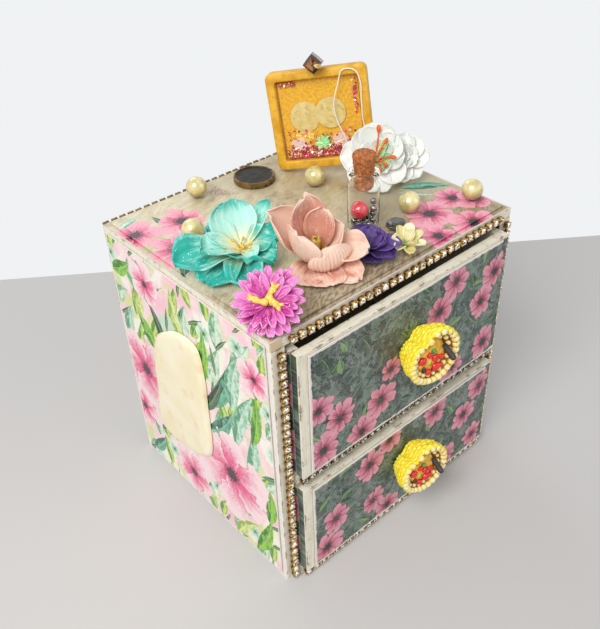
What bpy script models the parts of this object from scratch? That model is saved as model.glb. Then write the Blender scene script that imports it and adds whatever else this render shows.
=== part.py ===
"""A miniature chest of two drawers, papered and decorated by hand.

The case is 100 mm wide, 84 mm deep and 100 mm high. The origin is at the middle of the underside,
the front looks along -Y and +Z is up. All sizes are in metres.
"""
import math

import bmesh
import bpy
from mathutils import Vector

# Case
CASE_WIDTH = 0.100
CASE_DEPTH = 0.084
CASE_HEIGHT = 0.100
SIDE_THICKNESS = 0.0045
TOP_THICKNESS = 0.0030
BOTTOM_THICKNESS = 0.0030
SHELF_THICKNESS = 0.0030
BACK_THICKNESS = 0.0030
UPPER_OPENING_HEIGHT = 0.0495
SHELF_PROUD = 0.0017
SEAT_GAP = 0.0003

# Papers and the plaque on the left side
PAPER_THICKNESS = 0.0003
PAPER_MARGIN = 0.0020
PLAQUE_THICKNESS = 0.0016
PLAQUE_OUTLINE_SHARES = (
    (0.208, 0.686), (0.120, 0.752), (0.025, 0.790), (-0.080, 0.783), (-0.106, 0.682), (-0.101, 0.541),
    (-0.092, 0.368), (-0.051, 0.299), (0.063, 0.253), (0.223, 0.238), (0.288, 0.279), (0.261, 0.444),
    (0.249, 0.555),
)
PLAQUE_STEPS = 2
PLAQUE_ROUND_SHARE = 0.6

# Cup chain trims
CUP_WIDTH = 0.0026
CUP_DEPTH = 0.0020
CUP_PITCH = 0.0031
CUP_FACE_SHARE = 0.72
CUP_LINK_SHARE = 0.55
CUP_LENGTH_SHARE = 0.80
TRIM_SIDE_OFFSET = 0.00115
TRIM_FOOT_CLEARANCE = 0.0003

# Drawers
DRAWER_SIDE_GAP = 0.0010
DRAWER_TOP_GAP = 0.0026
DRAWER_BACK_GAP = 0.0010
DRAWER_PROUD = 0.0040
DRAWER_WALL = 0.0030
DRAWER_FLOOR = 0.0020
FRONT_PAPER_SIDE_MARGIN = 0.0032
FRONT_PAPER_EDGE_MARGIN = 0.0009

# Knobs
KNOB_RADIUS = 0.0093
KNOB_DEPTH = 0.0105
KNOB_WALL = 0.0014
KNOB_RECESS = 0.0050
KNOB_FILLING_THICKNESS = 0.0015
KNOB_BERRY_RADIUS = 0.0013
KNOB_HEIGHT_SHARE = 0.55
KNOB_BASE_SHARE = 0.62
KNOB_ROPE_SHARE = 0.035
KNOB_ROPES = 5
KNOB_GROOVE_PLACE_SHARE = 0.2
KNOB_RIB_PLACE_SHARE = 0.6
KNOB_SEGMENTS = 24
KNOB_LOBE_SHARE = 0.10
KNOB_LOBE_ANGLE = 50.0
KNOB_NOTCH_SHARE = 0.10
KNOB_NOTCH_ANGLE = 112.0
KNOB_NOTCH_SPREAD = 16.0
BERRY_PLACE_SHARES = ((-0.25, 0.10), (0.12, 0.30), (0.42, 0.12), (0.20, -0.34))
PEG_RADIUS = 0.0008
PEG_LENGTH = 0.0063
PEG_PLACE_SHARES = (0.46, 0.42)
PEG_LEAN_SHARES = (-0.23, -0.92, -0.32)
PEG_END_SHARE = 0.6
PEG_SEGMENTS = 8

# Shaker frame on the top
FRAME_WIDTH = 0.0338
FRAME_HEIGHT = 0.0330
FRAME_DEPTH = 0.0042
FRAME_BORDER = 0.0030
FRAME_CORNER_RADIUS = 0.0022
FRAME_BACK_THICKNESS = 0.0010
FRAME_TURN = -51.4
FRAME_ROLL = 7.9
FRAME_LEAN = 7.7
FRAME_PLACE_SHARES = (0.2320, 0.1840)
FRAME_CORNER_STEPS = 3
WINDOW_THICKNESS = 0.0005
WINDOW_RECESS = 0.0004
CARD_THICKNESS = 0.0006
CARD_INSET = 0.0003
SEQUIN_DEPTH = 0.0010
DISC_DEPTH_SHARE = 0.7
SEQUIN_SEGMENTS = 12
DISC_RADIUS = 0.0042
SEQUIN_RADIUS = 0.0032
DISC_PLACE_SHARES = ((-0.21, 0.03), (0.12, 0.05))
SEQUIN_PLACE_SHARES = ((-0.005, -0.33), (-0.31, -0.35), (0.205, -0.31))
CRYSTAL_HALF_DIAGONAL = 0.0033
CRYSTAL_HALF_DEPTH = 0.0021
CRYSTAL_FACET_SHARE = 0.62
CRYSTAL_PLACE_SHARES = (0.015, 1.067)

# Thread loop on the front of the frame: along the frame, up, and out from it
THREAD_DIAMETER = 0.00045
THREAD_STEP_DIAMETERS = 3.0
ROUTE_STEPS = 20
THREAD_ROUTE = (
    (0.0098, -0.0043, 0.0006), (0.0094, -0.0020, 0.0006), (0.0089, 0.0015, 0.0006), (0.0084, 0.0060, 0.0006),
    (0.0075, 0.0105, 0.0006), (0.0062, 0.0140, 0.0006), (0.0052, 0.0182, 0.0006), (0.0053, 0.0217, 0.0006),
    (0.0061, 0.0246, 0.0006), (0.0072, 0.0272, 0.0006), (0.0080, 0.0296, 0.0006), (0.0088, 0.0314, 0.0006),
    (0.0102, 0.0321, 0.0006), (0.0122, 0.0319, 0.0006), (0.0138, 0.0308, 0.0006), (0.0146, 0.0285, 0.0006),
    (0.0148, 0.0255, 0.0006), (0.0145, 0.0226, 0.0006), (0.0144, 0.0196, 0.0006), (0.0142, 0.0167, 0.0006),
    (0.0145, 0.0135, 0.0006), (0.0150, 0.0095, 0.0006), (0.0153, 0.0050, 0.0006), (0.0154, 0.0005, 0.0006),
    (0.0154, -0.0050, 0.0006),
)

# Flowers on the top: each with its radius, rise, place, petals and colour
FLOWER_THICKNESS = 0.0006
FLOWER_HUB_HEIGHT = 0.0016
FLOWER_HUB_SHARE = 0.20
FLOWER_RING_SHARES = (0.26, 0.62, 1.0)
FLOWER_CUP_POWER = 1.4
FLOWER_LOBE_POWER = 0.6
PETAL_STEPS = 6
SMALL_PETAL_STEPS = 4
SMALL_NOTCH_SHARE = 0.6
FLOWERS_FACE_TURN = -129.9
TEAL_RADIUS = 0.0145
TEAL_RISE = 0.0045
TEAL_LIFT = 0.0
TEAL_TILT = 14.0
TEAL_PLACE_SHARES = (-0.333, -0.035)
TEAL_NOTCH_SHARE = 0.84
TEAL_PETAL_SHARES = (0.92, 1.04, 1.06, 1.04, 0.88)
PEACH_RADIUS = 0.0156
PEACH_RISE = 0.0060
PEACH_LIFT = 0.0006
PEACH_TILT = 19.0
PEACH_PLACE_SHARES = (-0.140, -0.292)
PEACH_NOTCH_SHARE = 0.84
PEACH_PETAL_SHARES = (1.02, 0.92, 0.86, 1.02, 1.03)
DAISY_RADIUS = 0.0100
DAISY_RISE = 0.0020
DAISY_LIFT = 0.0042
DAISY_TILT = 42.0
DAISY_PLACE_SHARES = (-0.442, -0.420)
DAISY_NOTCH_SHARE = 0.72
DAISY_STEPS = 3
DAISY_PETAL_SHARES = (1.0, 0.93) * 8
PURPLE_RADIUS = 0.0068
PURPLE_RISE = 0.0012
PURPLE_LIFT = 0.0002
PURPLE_TILT = 0.0
PURPLE_PLACE_SHARES = (-0.022, -0.395)
PURPLE_PETAL_SHARES = (0.95, 0.9, 1.0, 1.0, 1.0, 0.8)
CREAM_RADIUS = 0.0054
CREAM_RISE = 0.0020
CREAM_LIFT = 0.0006
CREAM_TILT = 5.0
CREAM_PLACE_SHARES = (0.076, -0.436)
CREAM_PETAL_SHARES = (1.0, 1.0, 0.85, 0.85, 0.98, 1.0)
WHITE_RADIUS = 0.0121
WHITE_RISE = 0.0055
WHITE_LIFT = 0.0062
WHITE_TILT = 48.0
WHITE_PLACE_SHARES = (0.313, 0.000)
WHITE_NOTCH_SHARE = 0.82
WHITE_PETAL_SHARES = (1.0, 0.98, 1.04, 0.98, 1.02)
BLOSSOM_RADIUS = 0.0089
BLOSSOM_RISE = 0.0040
BLOSSOM_LIFT = 0.0055
BLOSSOM_TILT = 48.0
BLOSSOM_PLACE_SHARES = (0.393, -0.044)
BLOSSOM_PETAL_SHARES = (1.0, 0.96, 1.04, 0.98, 1.0)

# Vial with its cork and beads
VIAL_RADIUS = 0.0049
VIAL_WALL = 0.0005
VIAL_FLOOR = 0.0006
VIAL_FOOT_ROUND = 0.0004
VIAL_SHOULDER_HEIGHT = 0.0155
VIAL_NECK_HEIGHT = 0.0172
VIAL_HEIGHT = 0.0203
VIAL_NECK_RADIUS = 0.0038
VIAL_LIP_RADIUS = 0.0047
VIAL_LIP_DEPTH = 0.0012
VIAL_LIP_ROUND_SHARE = 0.7
VIAL_PLACE_SHARES = (0.053, -0.238)
VIAL_SEGMENTS = 20
CORK_LOW_RADIUS = 0.0029
CORK_TOP_RADIUS = 0.0036
CORK_INSERTION = 0.0055
CORK_LENGTH = 0.0110
CORK_ROUND = 0.0003
RED_BEAD_RADIUS = 0.0029
RED_BEAD_OFFSET = 0.0012
DARK_BEAD_RADIUS = 0.0009
DARK_BEAD_OFFSET = 0.0031
DARK_BEAD_STEP = 0.0016
DARK_BEADS = 4
BEADS_TURN = -40.0
BEAD_SEGMENTS = 12
BEAD_RINGS = 8

# Pearls, medal and stone
PEARL_RADIUS = 0.0035
PEARL_PLACE_SHARES = ((-0.181, 0.411), (0.149, 0.149), (0.442, -0.364), (0.238, -0.263), (-0.350, 0.149))
MEDAL_RADIUS = 0.0072
MEDAL_THICKNESS = 0.0020
MEDAL_RIM = 0.0009
MEDAL_SUNK = 0.0004
MEDAL_PLACE_SHARES = (0.030, 0.362)
MEDAL_LOOP_RADIUS = 0.0014
MEDAL_LOOP_TURN = 70.0
MEDAL_SEGMENTS = 28
STONE_RADIUS = 0.0034
STONE_HEIGHT = 0.0030
STONE_PLACE_SHARES = (0.141, -0.304)
STONE_SEGMENTS = 10
STONE_RING_SHARES = ((0.86, 0.0), (1.0, 0.30), (0.72, 0.82))

# Heights and planes that follow from the sizes above
OPENING_TOP = CASE_HEIGHT - TOP_THICKNESS
SHELF_TOP = OPENING_TOP - UPPER_OPENING_HEIGHT
SHELF_UNDERSIDE = SHELF_TOP - SHELF_THICKNESS
FRONT_PLANE = -CASE_DEPTH / 2
BACK_PLANE = CASE_DEPTH / 2
INNER_HALF_WIDTH = CASE_WIDTH / 2 - SIDE_THICKNESS
TOP_SEAT = CASE_HEIGHT + SEAT_GAP + PAPER_THICKNESS + SEAT_GAP
DRAWER_HALF_WIDTH = INNER_HALF_WIDTH - DRAWER_SIDE_GAP
DRAWER_FRONT_PLANE = FRONT_PLANE - DRAWER_PROUD
DRAWER_BACK_PLANE = BACK_PLANE - BACK_THICKNESS - DRAWER_BACK_GAP
KNOB_SEAT = DRAWER_FRONT_PLANE - SEAT_GAP - PAPER_THICKNESS - SEAT_GAP


def clear_scene():
    """Remove whatever the file holds."""
    for item in list(bpy.data.objects):
        bpy.data.objects.remove(item, do_unlink=True)


def finish(name, colour, roughness, metallic=0.0, transmission=0.0):
    """A Principled material with one colour."""
    made = bpy.data.materials.new(name)
    made.use_nodes = True
    shader = made.node_tree.nodes["Principled BSDF"]
    shader.inputs["Base Color"].default_value = (*colour, 1.0)
    shader.inputs["Roughness"].default_value = roughness
    shader.inputs["Metallic"].default_value = metallic
    shader.inputs["Transmission Weight"].default_value = transmission
    return made


def make_finishes():
    """All materials by name, with linear colours."""
    return {
        "board": finish("cream_painted_board", (0.73, 0.67, 0.50), 0.65),
        "top_paper": finish("wood_grain_paper", (0.57, 0.50, 0.34), 0.7),
        "side_paper": finish("pale_floral_paper", (0.85, 0.65, 0.64), 0.7),
        "drawer_paper": finish("slate_floral_paper", (0.16, 0.24, 0.22), 0.7),
        "plaque": finish("cream_resin", (0.91, 0.80, 0.50), 0.45),
        "chain": finish("brass_cups", (0.31, 0.19, 0.03), 0.3, 1.0),
        "knob": finish("yellow_clay", (0.89, 0.68, 0.02), 0.6),
        "filling": finish("orange_clay", (0.85, 0.36, 0.02), 0.5),
        "peg": finish("dark_clay", (0.03, 0.025, 0.02), 0.5),
        "frame": finish("mustard_card", (0.75, 0.36, 0.02), 0.55),
        "window": finish("clear_film", (0.95, 0.95, 0.95), 0.05, 0.0, 1.0),
        "sequins": finish("sequins_and_glitter", (0.80, 0.45, 0.50), 0.3),
        "crystal": finish("amber_crystal", (0.30, 0.12, 0.04), 0.1),
        "thread": finish("white_thread", (0.80, 0.78, 0.72), 0.8),
        "white": finish("white_petals", (0.85, 0.88, 0.84), 0.75),
        "teal": finish("teal_petals", (0.06, 0.62, 0.52), 0.7),
        "peach": finish("peach_petals", (0.75, 0.34, 0.26), 0.75),
        "magenta": finish("magenta_petals", (0.60, 0.11, 0.40), 0.7),
        "purple": finish("purple_petals", (0.08, 0.03, 0.16), 0.75),
        "cream": finish("cream_petals", (0.74, 0.70, 0.26), 0.75),
        "glass": finish("clear_glass", (0.98, 0.98, 0.98), 0.03, 0.0, 1.0),
        "cork": finish("cork", (0.30, 0.09, 0.03), 0.85),
        "red_bead": finish("red_pearl", (0.58, 0.02, 0.05), 0.2),
        "dark_bead": finish("dark_metal_beads", (0.08, 0.07, 0.07), 0.25, 0.8),
        "pearl": finish("cream_pearl", (0.75, 0.62, 0.26), 0.2),
        "medal": finish("dark_bronze", (0.05, 0.04, 0.025), 0.4, 0.9),
        "stone": finish("dark_stone", (0.02, 0.02, 0.02), 0.15),
    }


def add_mesh(name, vertices, faces, material, smooth_angle=None):
    """An object from points and faces, its faces turned outwards."""
    shell = bmesh.new()
    made = [shell.verts.new(point) for point in vertices]
    for face in faces:
        shell.faces.new([made[index] for index in face])
    bmesh.ops.recalc_face_normals(shell, faces=shell.faces[:])
    mesh = bpy.data.meshes.new(name)
    shell.to_mesh(mesh)
    shell.free()
    mesh.materials.append(material)
    if smooth_angle is not None:
        mesh.shade_smooth()
        mesh.set_sharp_from_angle(angle=math.radians(smooth_angle))
    item = bpy.data.objects.new(name, mesh)
    bpy.context.scene.collection.objects.link(item)
    return item


def board(name, low, high, material):
    """A flat board between two corners."""
    corners = [(x, y, z) for z in (low[2], high[2]) for y in (low[1], high[1]) for x in (low[0], high[0])]
    faces = [(0, 1, 3, 2), (4, 5, 7, 6), (0, 1, 5, 4), (2, 3, 7, 6), (0, 2, 6, 4), (1, 3, 7, 5)]
    return add_mesh(name, corners, faces, material)


def ringed(name, rings, material, smooth_angle=None, poles=(False, False)):
    """A closed body from rings of equal count; each end is a flat face, or a fan to the ring's middle."""
    count = len(rings[0])
    vertices = [point for ring in rings for point in ring]
    faces = []
    for low in range(len(rings) - 1):
        for step in range(count):
            after = (step + 1) % count
            faces.append((low * count + step, low * count + after,
                          (low + 1) * count + after, (low + 1) * count + step))
    for ring_index, fanned in ((0, poles[0]), (len(rings) - 1, poles[1])):
        start = ring_index * count
        if not fanned:
            faces.append(tuple(range(start, start + count)))
            continue
        ring = rings[ring_index]
        vertices.append(sum((Vector(point) for point in ring), Vector()) / count)
        middle = len(vertices) - 1
        faces += [(start + step, start + (step + 1) % count, middle) for step in range(count)]
    return add_mesh(name, vertices, faces, material, smooth_angle)


def circle(radius, height, count, centre=(0.0, 0.0)):
    """A level ring of points."""
    turns = [2 * math.pi * step / count for step in range(count)]
    return [(centre[0] + radius * math.cos(turn), centre[1] + radius * math.sin(turn), height)
            for turn in turns]


def turned(name, profile, centre, count, material, smooth_angle=40.0, poles=(False, False)):
    """A body of revolution from (radius, height) pairs."""
    rings = [circle(radius, height, count, centre) for radius, height in profile]
    return ringed(name, rings, material, smooth_angle, poles)


def ball(name, radius, centre, material):
    """A round bead."""
    rings = []
    for ring in range(1, BEAD_RINGS):
        turn = math.pi * ring / BEAD_RINGS
        rings.append(circle(radius * math.sin(turn), centre[2] - radius * math.cos(turn),
                            BEAD_SEGMENTS, centre[:2]))
    item = ringed(name, rings, material, 180.0, (True, True))
    for vertex, height in ((-2, centre[2] - radius), (-1, centre[2] + radius)):
        item.data.vertices[len(item.data.vertices) + vertex].co.z = height
    return item


def fuse(item, helpers):
    """Join helper bodies to an item with Boolean unions."""
    for helper in helpers:
        helper.hide_render = True
        helper.display_type = "WIRE"
        join = item.modifiers.new("join_" + helper.name, "BOOLEAN")
        join.operation = "UNION"
        join.solver = "EXACT"
        join.object = helper
    return item


def on_top(shares):
    """A place on the top from shares of the case's width and depth."""
    return (shares[0] * CASE_WIDTH, shares[1] * CASE_DEPTH)


def make_case(finishes):
    """Six boards: the top lies on the sides and the rest fits between them."""
    paint = finishes["board"]
    half = CASE_WIDTH / 2
    side_top = OPENING_TOP - SEAT_GAP
    between = INNER_HALF_WIDTH - SEAT_GAP
    back_front = BACK_PLANE - BACK_THICKNESS
    board("top_board", (-half, FRONT_PLANE, OPENING_TOP), (half, BACK_PLANE, CASE_HEIGHT), paint)
    board("left_side_board", (-half, FRONT_PLANE, 0), (-INNER_HALF_WIDTH, BACK_PLANE, side_top), paint)
    board("right_side_board", (INNER_HALF_WIDTH, FRONT_PLANE, 0), (half, BACK_PLANE, side_top), paint)
    board("bottom_board", (-between, FRONT_PLANE - SHELF_PROUD, 0),
          (between, back_front - SEAT_GAP, BOTTOM_THICKNESS), paint)
    board("back_board", (-between, back_front, 0), (between, BACK_PLANE, side_top), paint)
    board("shelf_board", (-between, FRONT_PLANE - SHELF_PROUD, SHELF_UNDERSIDE),
          (between, back_front - SEAT_GAP, SHELF_TOP), paint)


def make_papers(finishes):
    """Thin papers glued on the top, the sides and the back, a margin in from the edges."""
    half = CASE_WIDTH / 2
    wide = half - PAPER_MARGIN
    deep = CASE_DEPTH / 2 - PAPER_MARGIN
    low = PAPER_MARGIN
    high = CASE_HEIGHT - PAPER_MARGIN
    inner = SEAT_GAP
    outer = SEAT_GAP + PAPER_THICKNESS
    board("top_paper", (-wide, -deep, CASE_HEIGHT + inner), (wide, deep, CASE_HEIGHT + outer),
          finishes["top_paper"])
    board("left_side_paper", (-half - outer, -deep, low), (-half - inner, deep, high), finishes["side_paper"])
    board("right_side_paper", (half + inner, -deep, low), (half + outer, deep, high), finishes["side_paper"])
    back_wide = half - TRIM_SIDE_OFFSET - CUP_WIDTH - PAPER_MARGIN
    back_high = CASE_HEIGHT - CUP_WIDTH - PAPER_MARGIN
    board("back_paper", (-back_wide, BACK_PLANE + inner, low), (back_wide, BACK_PLANE + outer, back_high),
          finishes["side_paper"])


def curve_point(before, start, end, after, t):
    """A point between start and end on a Catmull-Rom curve."""
    return (2 * start + (end - before) * t
            + (2 * before - 5 * start + 4 * end - after) * t * t
            + (3 * start - before - 3 * end + after) * t ** 3) / 2


def smooth_loop(points, steps):
    """A closed Catmull-Rom curve through points, with some steps for each span."""
    count = len(points)
    loop = []
    for index in range(count):
        before, start, end, after = (Vector(points[(index + shift) % count]) for shift in (-1, 0, 1, 2))
        loop += [curve_point(before, start, end, after, step / steps) for step in range(steps)]
    return loop


def make_plaque(finishes):
    """A hand-cut upright plaque glued on the left paper."""
    face = -CASE_WIDTH / 2 - 2 * SEAT_GAP - PAPER_THICKNESS
    outline = [(y * CASE_DEPTH, z * CASE_HEIGHT) for y, z in PLAQUE_OUTLINE_SHARES]
    loop = smooth_loop(outline, PLAQUE_STEPS)
    middle = sum(loop, Vector((0, 0))) / len(loop)
    softened = [middle + (point - middle) * (1 - PLAQUE_THICKNESS / 2 / (point - middle).length)
                for point in loop]
    steps = ((0, loop), (PLAQUE_THICKNESS * PLAQUE_ROUND_SHARE, loop), (PLAQUE_THICKNESS, softened))
    rings = [[(face - depth, point.x, point.y) for point in points] for depth, points in steps]
    ringed("side_plaque", rings, finishes["plaque"], 30.0)


def chain(name, start, along, across, out, length, material):
    """A strip of square cups joined by links, widest at each cup."""
    cups = int(length / CUP_PITCH)
    start = Vector(start) + Vector(along) * (length - cups * CUP_PITCH) / 2
    along, across, out = Vector(along), Vector(across), Vector(out)
    rings = []

    def ring(distance, width_share):
        middle = start + along * distance
        half = CUP_WIDTH * width_share / 2
        face = half * CUP_FACE_SHARE
        low = middle + out * SEAT_GAP
        high = low + out * CUP_DEPTH * (1 + width_share) / 2
        rings.append([low - across * half, low + across * half, high + across * face, high - across * face])

    margin = CUP_PITCH * (1 - CUP_LENGTH_SHARE) / 2
    for cup in range(cups):
        near = cup * CUP_PITCH
        if cup:
            ring(near, CUP_LINK_SHARE)
        ring(near + margin, 1)
        ring(near + CUP_PITCH - margin, 1)
    return ringed(name, rings, material)


def make_trims(finishes):
    """Cup chain round the front, on the shelf and bottom edges, and on three edges of the back."""
    brass = finishes["chain"]
    half = CASE_WIDTH / 2
    upright = half - TRIM_SIDE_OFFSET - CUP_WIDTH / 2
    foot = TRIM_FOOT_CLEARANCE
    tall = OPENING_TOP - foot
    right, up, front, back = (1, 0, 0), (0, 0, 1), (0, -1, 0), (0, 1, 0)
    top_line = CASE_HEIGHT - CUP_WIDTH / 2
    proud = FRONT_PLANE - SHELF_PROUD
    low_line = BOTTOM_THICKNESS - CUP_WIDTH / 2
    shelf_line = SHELF_TOP - CUP_WIDTH / 2
    short = upright - CUP_WIDTH / 2 - SEAT_GAP
    chain("trim_front_top", (-short, FRONT_PLANE, top_line), right, up, front, 2 * short, brass)
    chain("trim_front_left", (-upright, FRONT_PLANE, foot), up, right, front, tall, brass)
    chain("trim_front_right", (upright, FRONT_PLANE, foot), up, right, front, tall, brass)
    chain("trim_shelf", (-short, proud, shelf_line - SEAT_GAP), right, up, front, 2 * short, brass)
    chain("trim_bottom", (-short, proud, low_line - SEAT_GAP / 2), right, up, front, 2 * short, brass)
    chain("trim_back_top", (-half, BACK_PLANE, top_line), right, up, back, CASE_WIDTH, brass)
    back_tall = CASE_HEIGHT - CUP_WIDTH - SEAT_GAP - foot
    chain("trim_back_left", (-upright, BACK_PLANE, foot), up, right, back, back_tall, brass)
    chain("trim_back_right", (upright, BACK_PLANE, foot), up, right, back, back_tall, brass)


def knob_outline(turn):
    """How far the knob's edge lies at an angle, as a share of its radius: one lobe and one notch."""
    degrees = math.degrees(turn)
    away = (degrees - KNOB_NOTCH_ANGLE + 180.0) % 360.0 - 180.0
    lobe = KNOB_LOBE_SHARE * math.cos(math.radians(degrees - KNOB_LOBE_ANGLE))
    notch = KNOB_NOTCH_SHARE * math.exp(-(away / KNOB_NOTCH_SPREAD) ** 2)
    return 1 + lobe - notch


def knob_ring(radius, depth, height):
    """An upright ring of the knob's outline, a depth out from its seat."""
    ring = []
    for step in range(KNOB_SEGMENTS):
        turn = 2 * math.pi * step / KNOB_SEGMENTS
        reach = radius * knob_outline(turn)
        ring.append((reach * math.cos(turn), KNOB_SEAT - depth, height + reach * math.sin(turn)))
    return ring


def make_knob(prefix, height, finishes):
    """A roped bowl that opens to the front, with a berried filling and a dark peg."""
    rings = [knob_ring(KNOB_RADIUS * KNOB_BASE_SHARE, 0, height)]
    for rope in range(KNOB_ROPES):
        for part, bulge in ((KNOB_GROOVE_PLACE_SHARE, 0), (KNOB_RIB_PLACE_SHARE, 1)):
            t = (rope + part) / KNOB_ROPES
            swell = KNOB_BASE_SHARE + (1 - KNOB_BASE_SHARE) * math.sin(t * math.pi / 2)
            rings.append(knob_ring(KNOB_RADIUS * (swell - KNOB_ROPE_SHARE * (1 - bulge)),
                                   KNOB_DEPTH * t, height))
    rings.append(knob_ring(KNOB_RADIUS - KNOB_WALL / 3, KNOB_DEPTH, height))
    rings.append(knob_ring(KNOB_RADIUS - KNOB_WALL, KNOB_DEPTH, height))
    floor = KNOB_DEPTH - KNOB_RECESS
    rings.append(knob_ring(KNOB_RADIUS - 2 * KNOB_WALL, floor, height))
    ringed(prefix + "_knob_bowl", rings, finishes["knob"], 50.0, (True, True))

    reach = KNOB_RADIUS - 2 * KNOB_WALL - SEAT_GAP
    surface = floor + SEAT_GAP + KNOB_FILLING_THICKNESS
    filling = ringed(prefix + "_knob_filling",
                     [knob_ring(reach, floor + SEAT_GAP, height), knob_ring(reach, surface, height)],
                     finishes["filling"], 50.0)
    berries = []
    for index, (x, z) in enumerate(BERRY_PLACE_SHARES):
        place = (x * KNOB_RADIUS, KNOB_SEAT - surface, height + z * KNOB_RADIUS)
        berries.append(ball(f"{prefix}_berry_shape_{index}", KNOB_BERRY_RADIUS, place, finishes["filling"]))
    fuse(filling, berries)

    lean = Vector(PEG_LEAN_SHARES).normalized()
    foot = Vector((PEG_PLACE_SHARES[0] * KNOB_RADIUS, KNOB_SEAT - surface - PEG_RADIUS,
                   height + PEG_PLACE_SHARES[1] * KNOB_RADIUS))
    side = lean.cross(Vector((0, 0, 1))).normalized()
    other = lean.cross(side)
    rings = []
    for along, share in ((0, PEG_END_SHARE), (PEG_RADIUS / 2, 1), (PEG_LENGTH - PEG_RADIUS / 2, 1),
                         (PEG_LENGTH, PEG_END_SHARE)):
        rings.append([foot + lean * along
                      + (side * math.cos(turn) + other * math.sin(turn)) * PEG_RADIUS * share
                      for turn in (2 * math.pi * step / PEG_SEGMENTS for step in range(PEG_SEGMENTS))])
    ringed(prefix + "_knob_peg", rings, finishes["peg"], 50.0)


def make_drawer(prefix, low, high, finishes):
    """A drawer box of five boards with a papered front and its knob."""
    paint = finishes["board"]
    half = DRAWER_HALF_WIDTH
    inner = half - DRAWER_WALL
    front_back = DRAWER_FRONT_PLANE + DRAWER_WALL
    side_start = front_back + SEAT_GAP
    between = inner - SEAT_GAP
    back_front = DRAWER_BACK_PLANE - DRAWER_WALL
    board(prefix + "_drawer_front", (-half, DRAWER_FRONT_PLANE, low), (half, front_back, high), paint)
    board(prefix + "_drawer_left", (-half, side_start, low), (-inner, DRAWER_BACK_PLANE, high), paint)
    board(prefix + "_drawer_right", (inner, side_start, low), (half, DRAWER_BACK_PLANE, high), paint)
    board(prefix + "_drawer_back", (-between, back_front, low), (between, DRAWER_BACK_PLANE, high), paint)
    board(prefix + "_drawer_bottom", (-between, side_start, low),
          (between, back_front - SEAT_GAP, low + DRAWER_FLOOR), paint)
    paper_half = half - FRONT_PAPER_SIDE_MARGIN
    board(prefix + "_drawer_paper",
          (-paper_half, DRAWER_FRONT_PLANE - SEAT_GAP - PAPER_THICKNESS, low + FRONT_PAPER_EDGE_MARGIN),
          (paper_half, DRAWER_FRONT_PLANE - SEAT_GAP, high - FRONT_PAPER_EDGE_MARGIN),
          finishes["drawer_paper"])
    make_knob(prefix, low + (high - low) * KNOB_HEIGHT_SHARE, finishes)


def frame_axes():
    """The frame's directions along, up and out, after its turn, its lean back and its roll to one side."""
    turn, roll, lean = (math.radians(angle) for angle in (FRAME_TURN, FRAME_ROLL, FRAME_LEAN))
    level = Vector((math.cos(turn), math.sin(turn), 0))
    facing = Vector((math.sin(turn), -math.cos(turn), 0))
    steep = Vector((0, 0, 1)) * math.cos(lean) - facing * math.sin(lean)
    along = level * math.cos(roll) + steep * math.sin(roll)
    up = steep * math.cos(roll) - level * math.sin(roll)
    return along, up, along.cross(up)


def frame_point(along, up, out):
    """A point given along the frame from its middle, up from its lower edge, and out from its front.

    The frame stands on its lowest corner, the back one at its left.
    """
    axes = frame_axes()
    drop = axes[0].z * FRAME_WIDTH / 2 + axes[2].z * FRAME_DEPTH
    foot = Vector((*on_top(FRAME_PLACE_SHARES), TOP_SEAT + drop))
    return foot + axes[0] * along + axes[1] * up + axes[2] * out


def rounded_frame_ring(inset, out):
    """A rounded rectangle of the frame, inset from its edge, at a distance out from its front."""
    half = FRAME_WIDTH / 2 - inset
    low, high = inset, FRAME_HEIGHT - inset
    radius = max(FRAME_CORNER_RADIUS - inset / 2, FRAME_CORNER_RADIUS / 3)
    ring = []
    for corner, (x, z) in enumerate(((half, high), (-half, high), (-half, low), (half, low))):
        middle_x = x - math.copysign(radius, x)
        middle_z = z - radius if z == high else z + radius
        for step in range(FRAME_CORNER_STEPS + 1):
            turn = math.pi / 2 * (corner + step / FRAME_CORNER_STEPS)
            ring.append(frame_point(middle_x + radius * math.cos(turn), middle_z + radius * math.sin(turn),
                                    out))
    return ring


def frame_disc(name, radius, along, up, low, high, material):
    """A flat disc that stands parallel to the frame."""
    turns = [2 * math.pi * step / SEQUIN_SEGMENTS for step in range(SEQUIN_SEGMENTS)]
    rings = [[frame_point(along + radius * math.cos(turn), up + radius * math.sin(turn), out)
              for turn in turns] for out in (low, high)]
    return ringed(name, rings, material)


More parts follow.
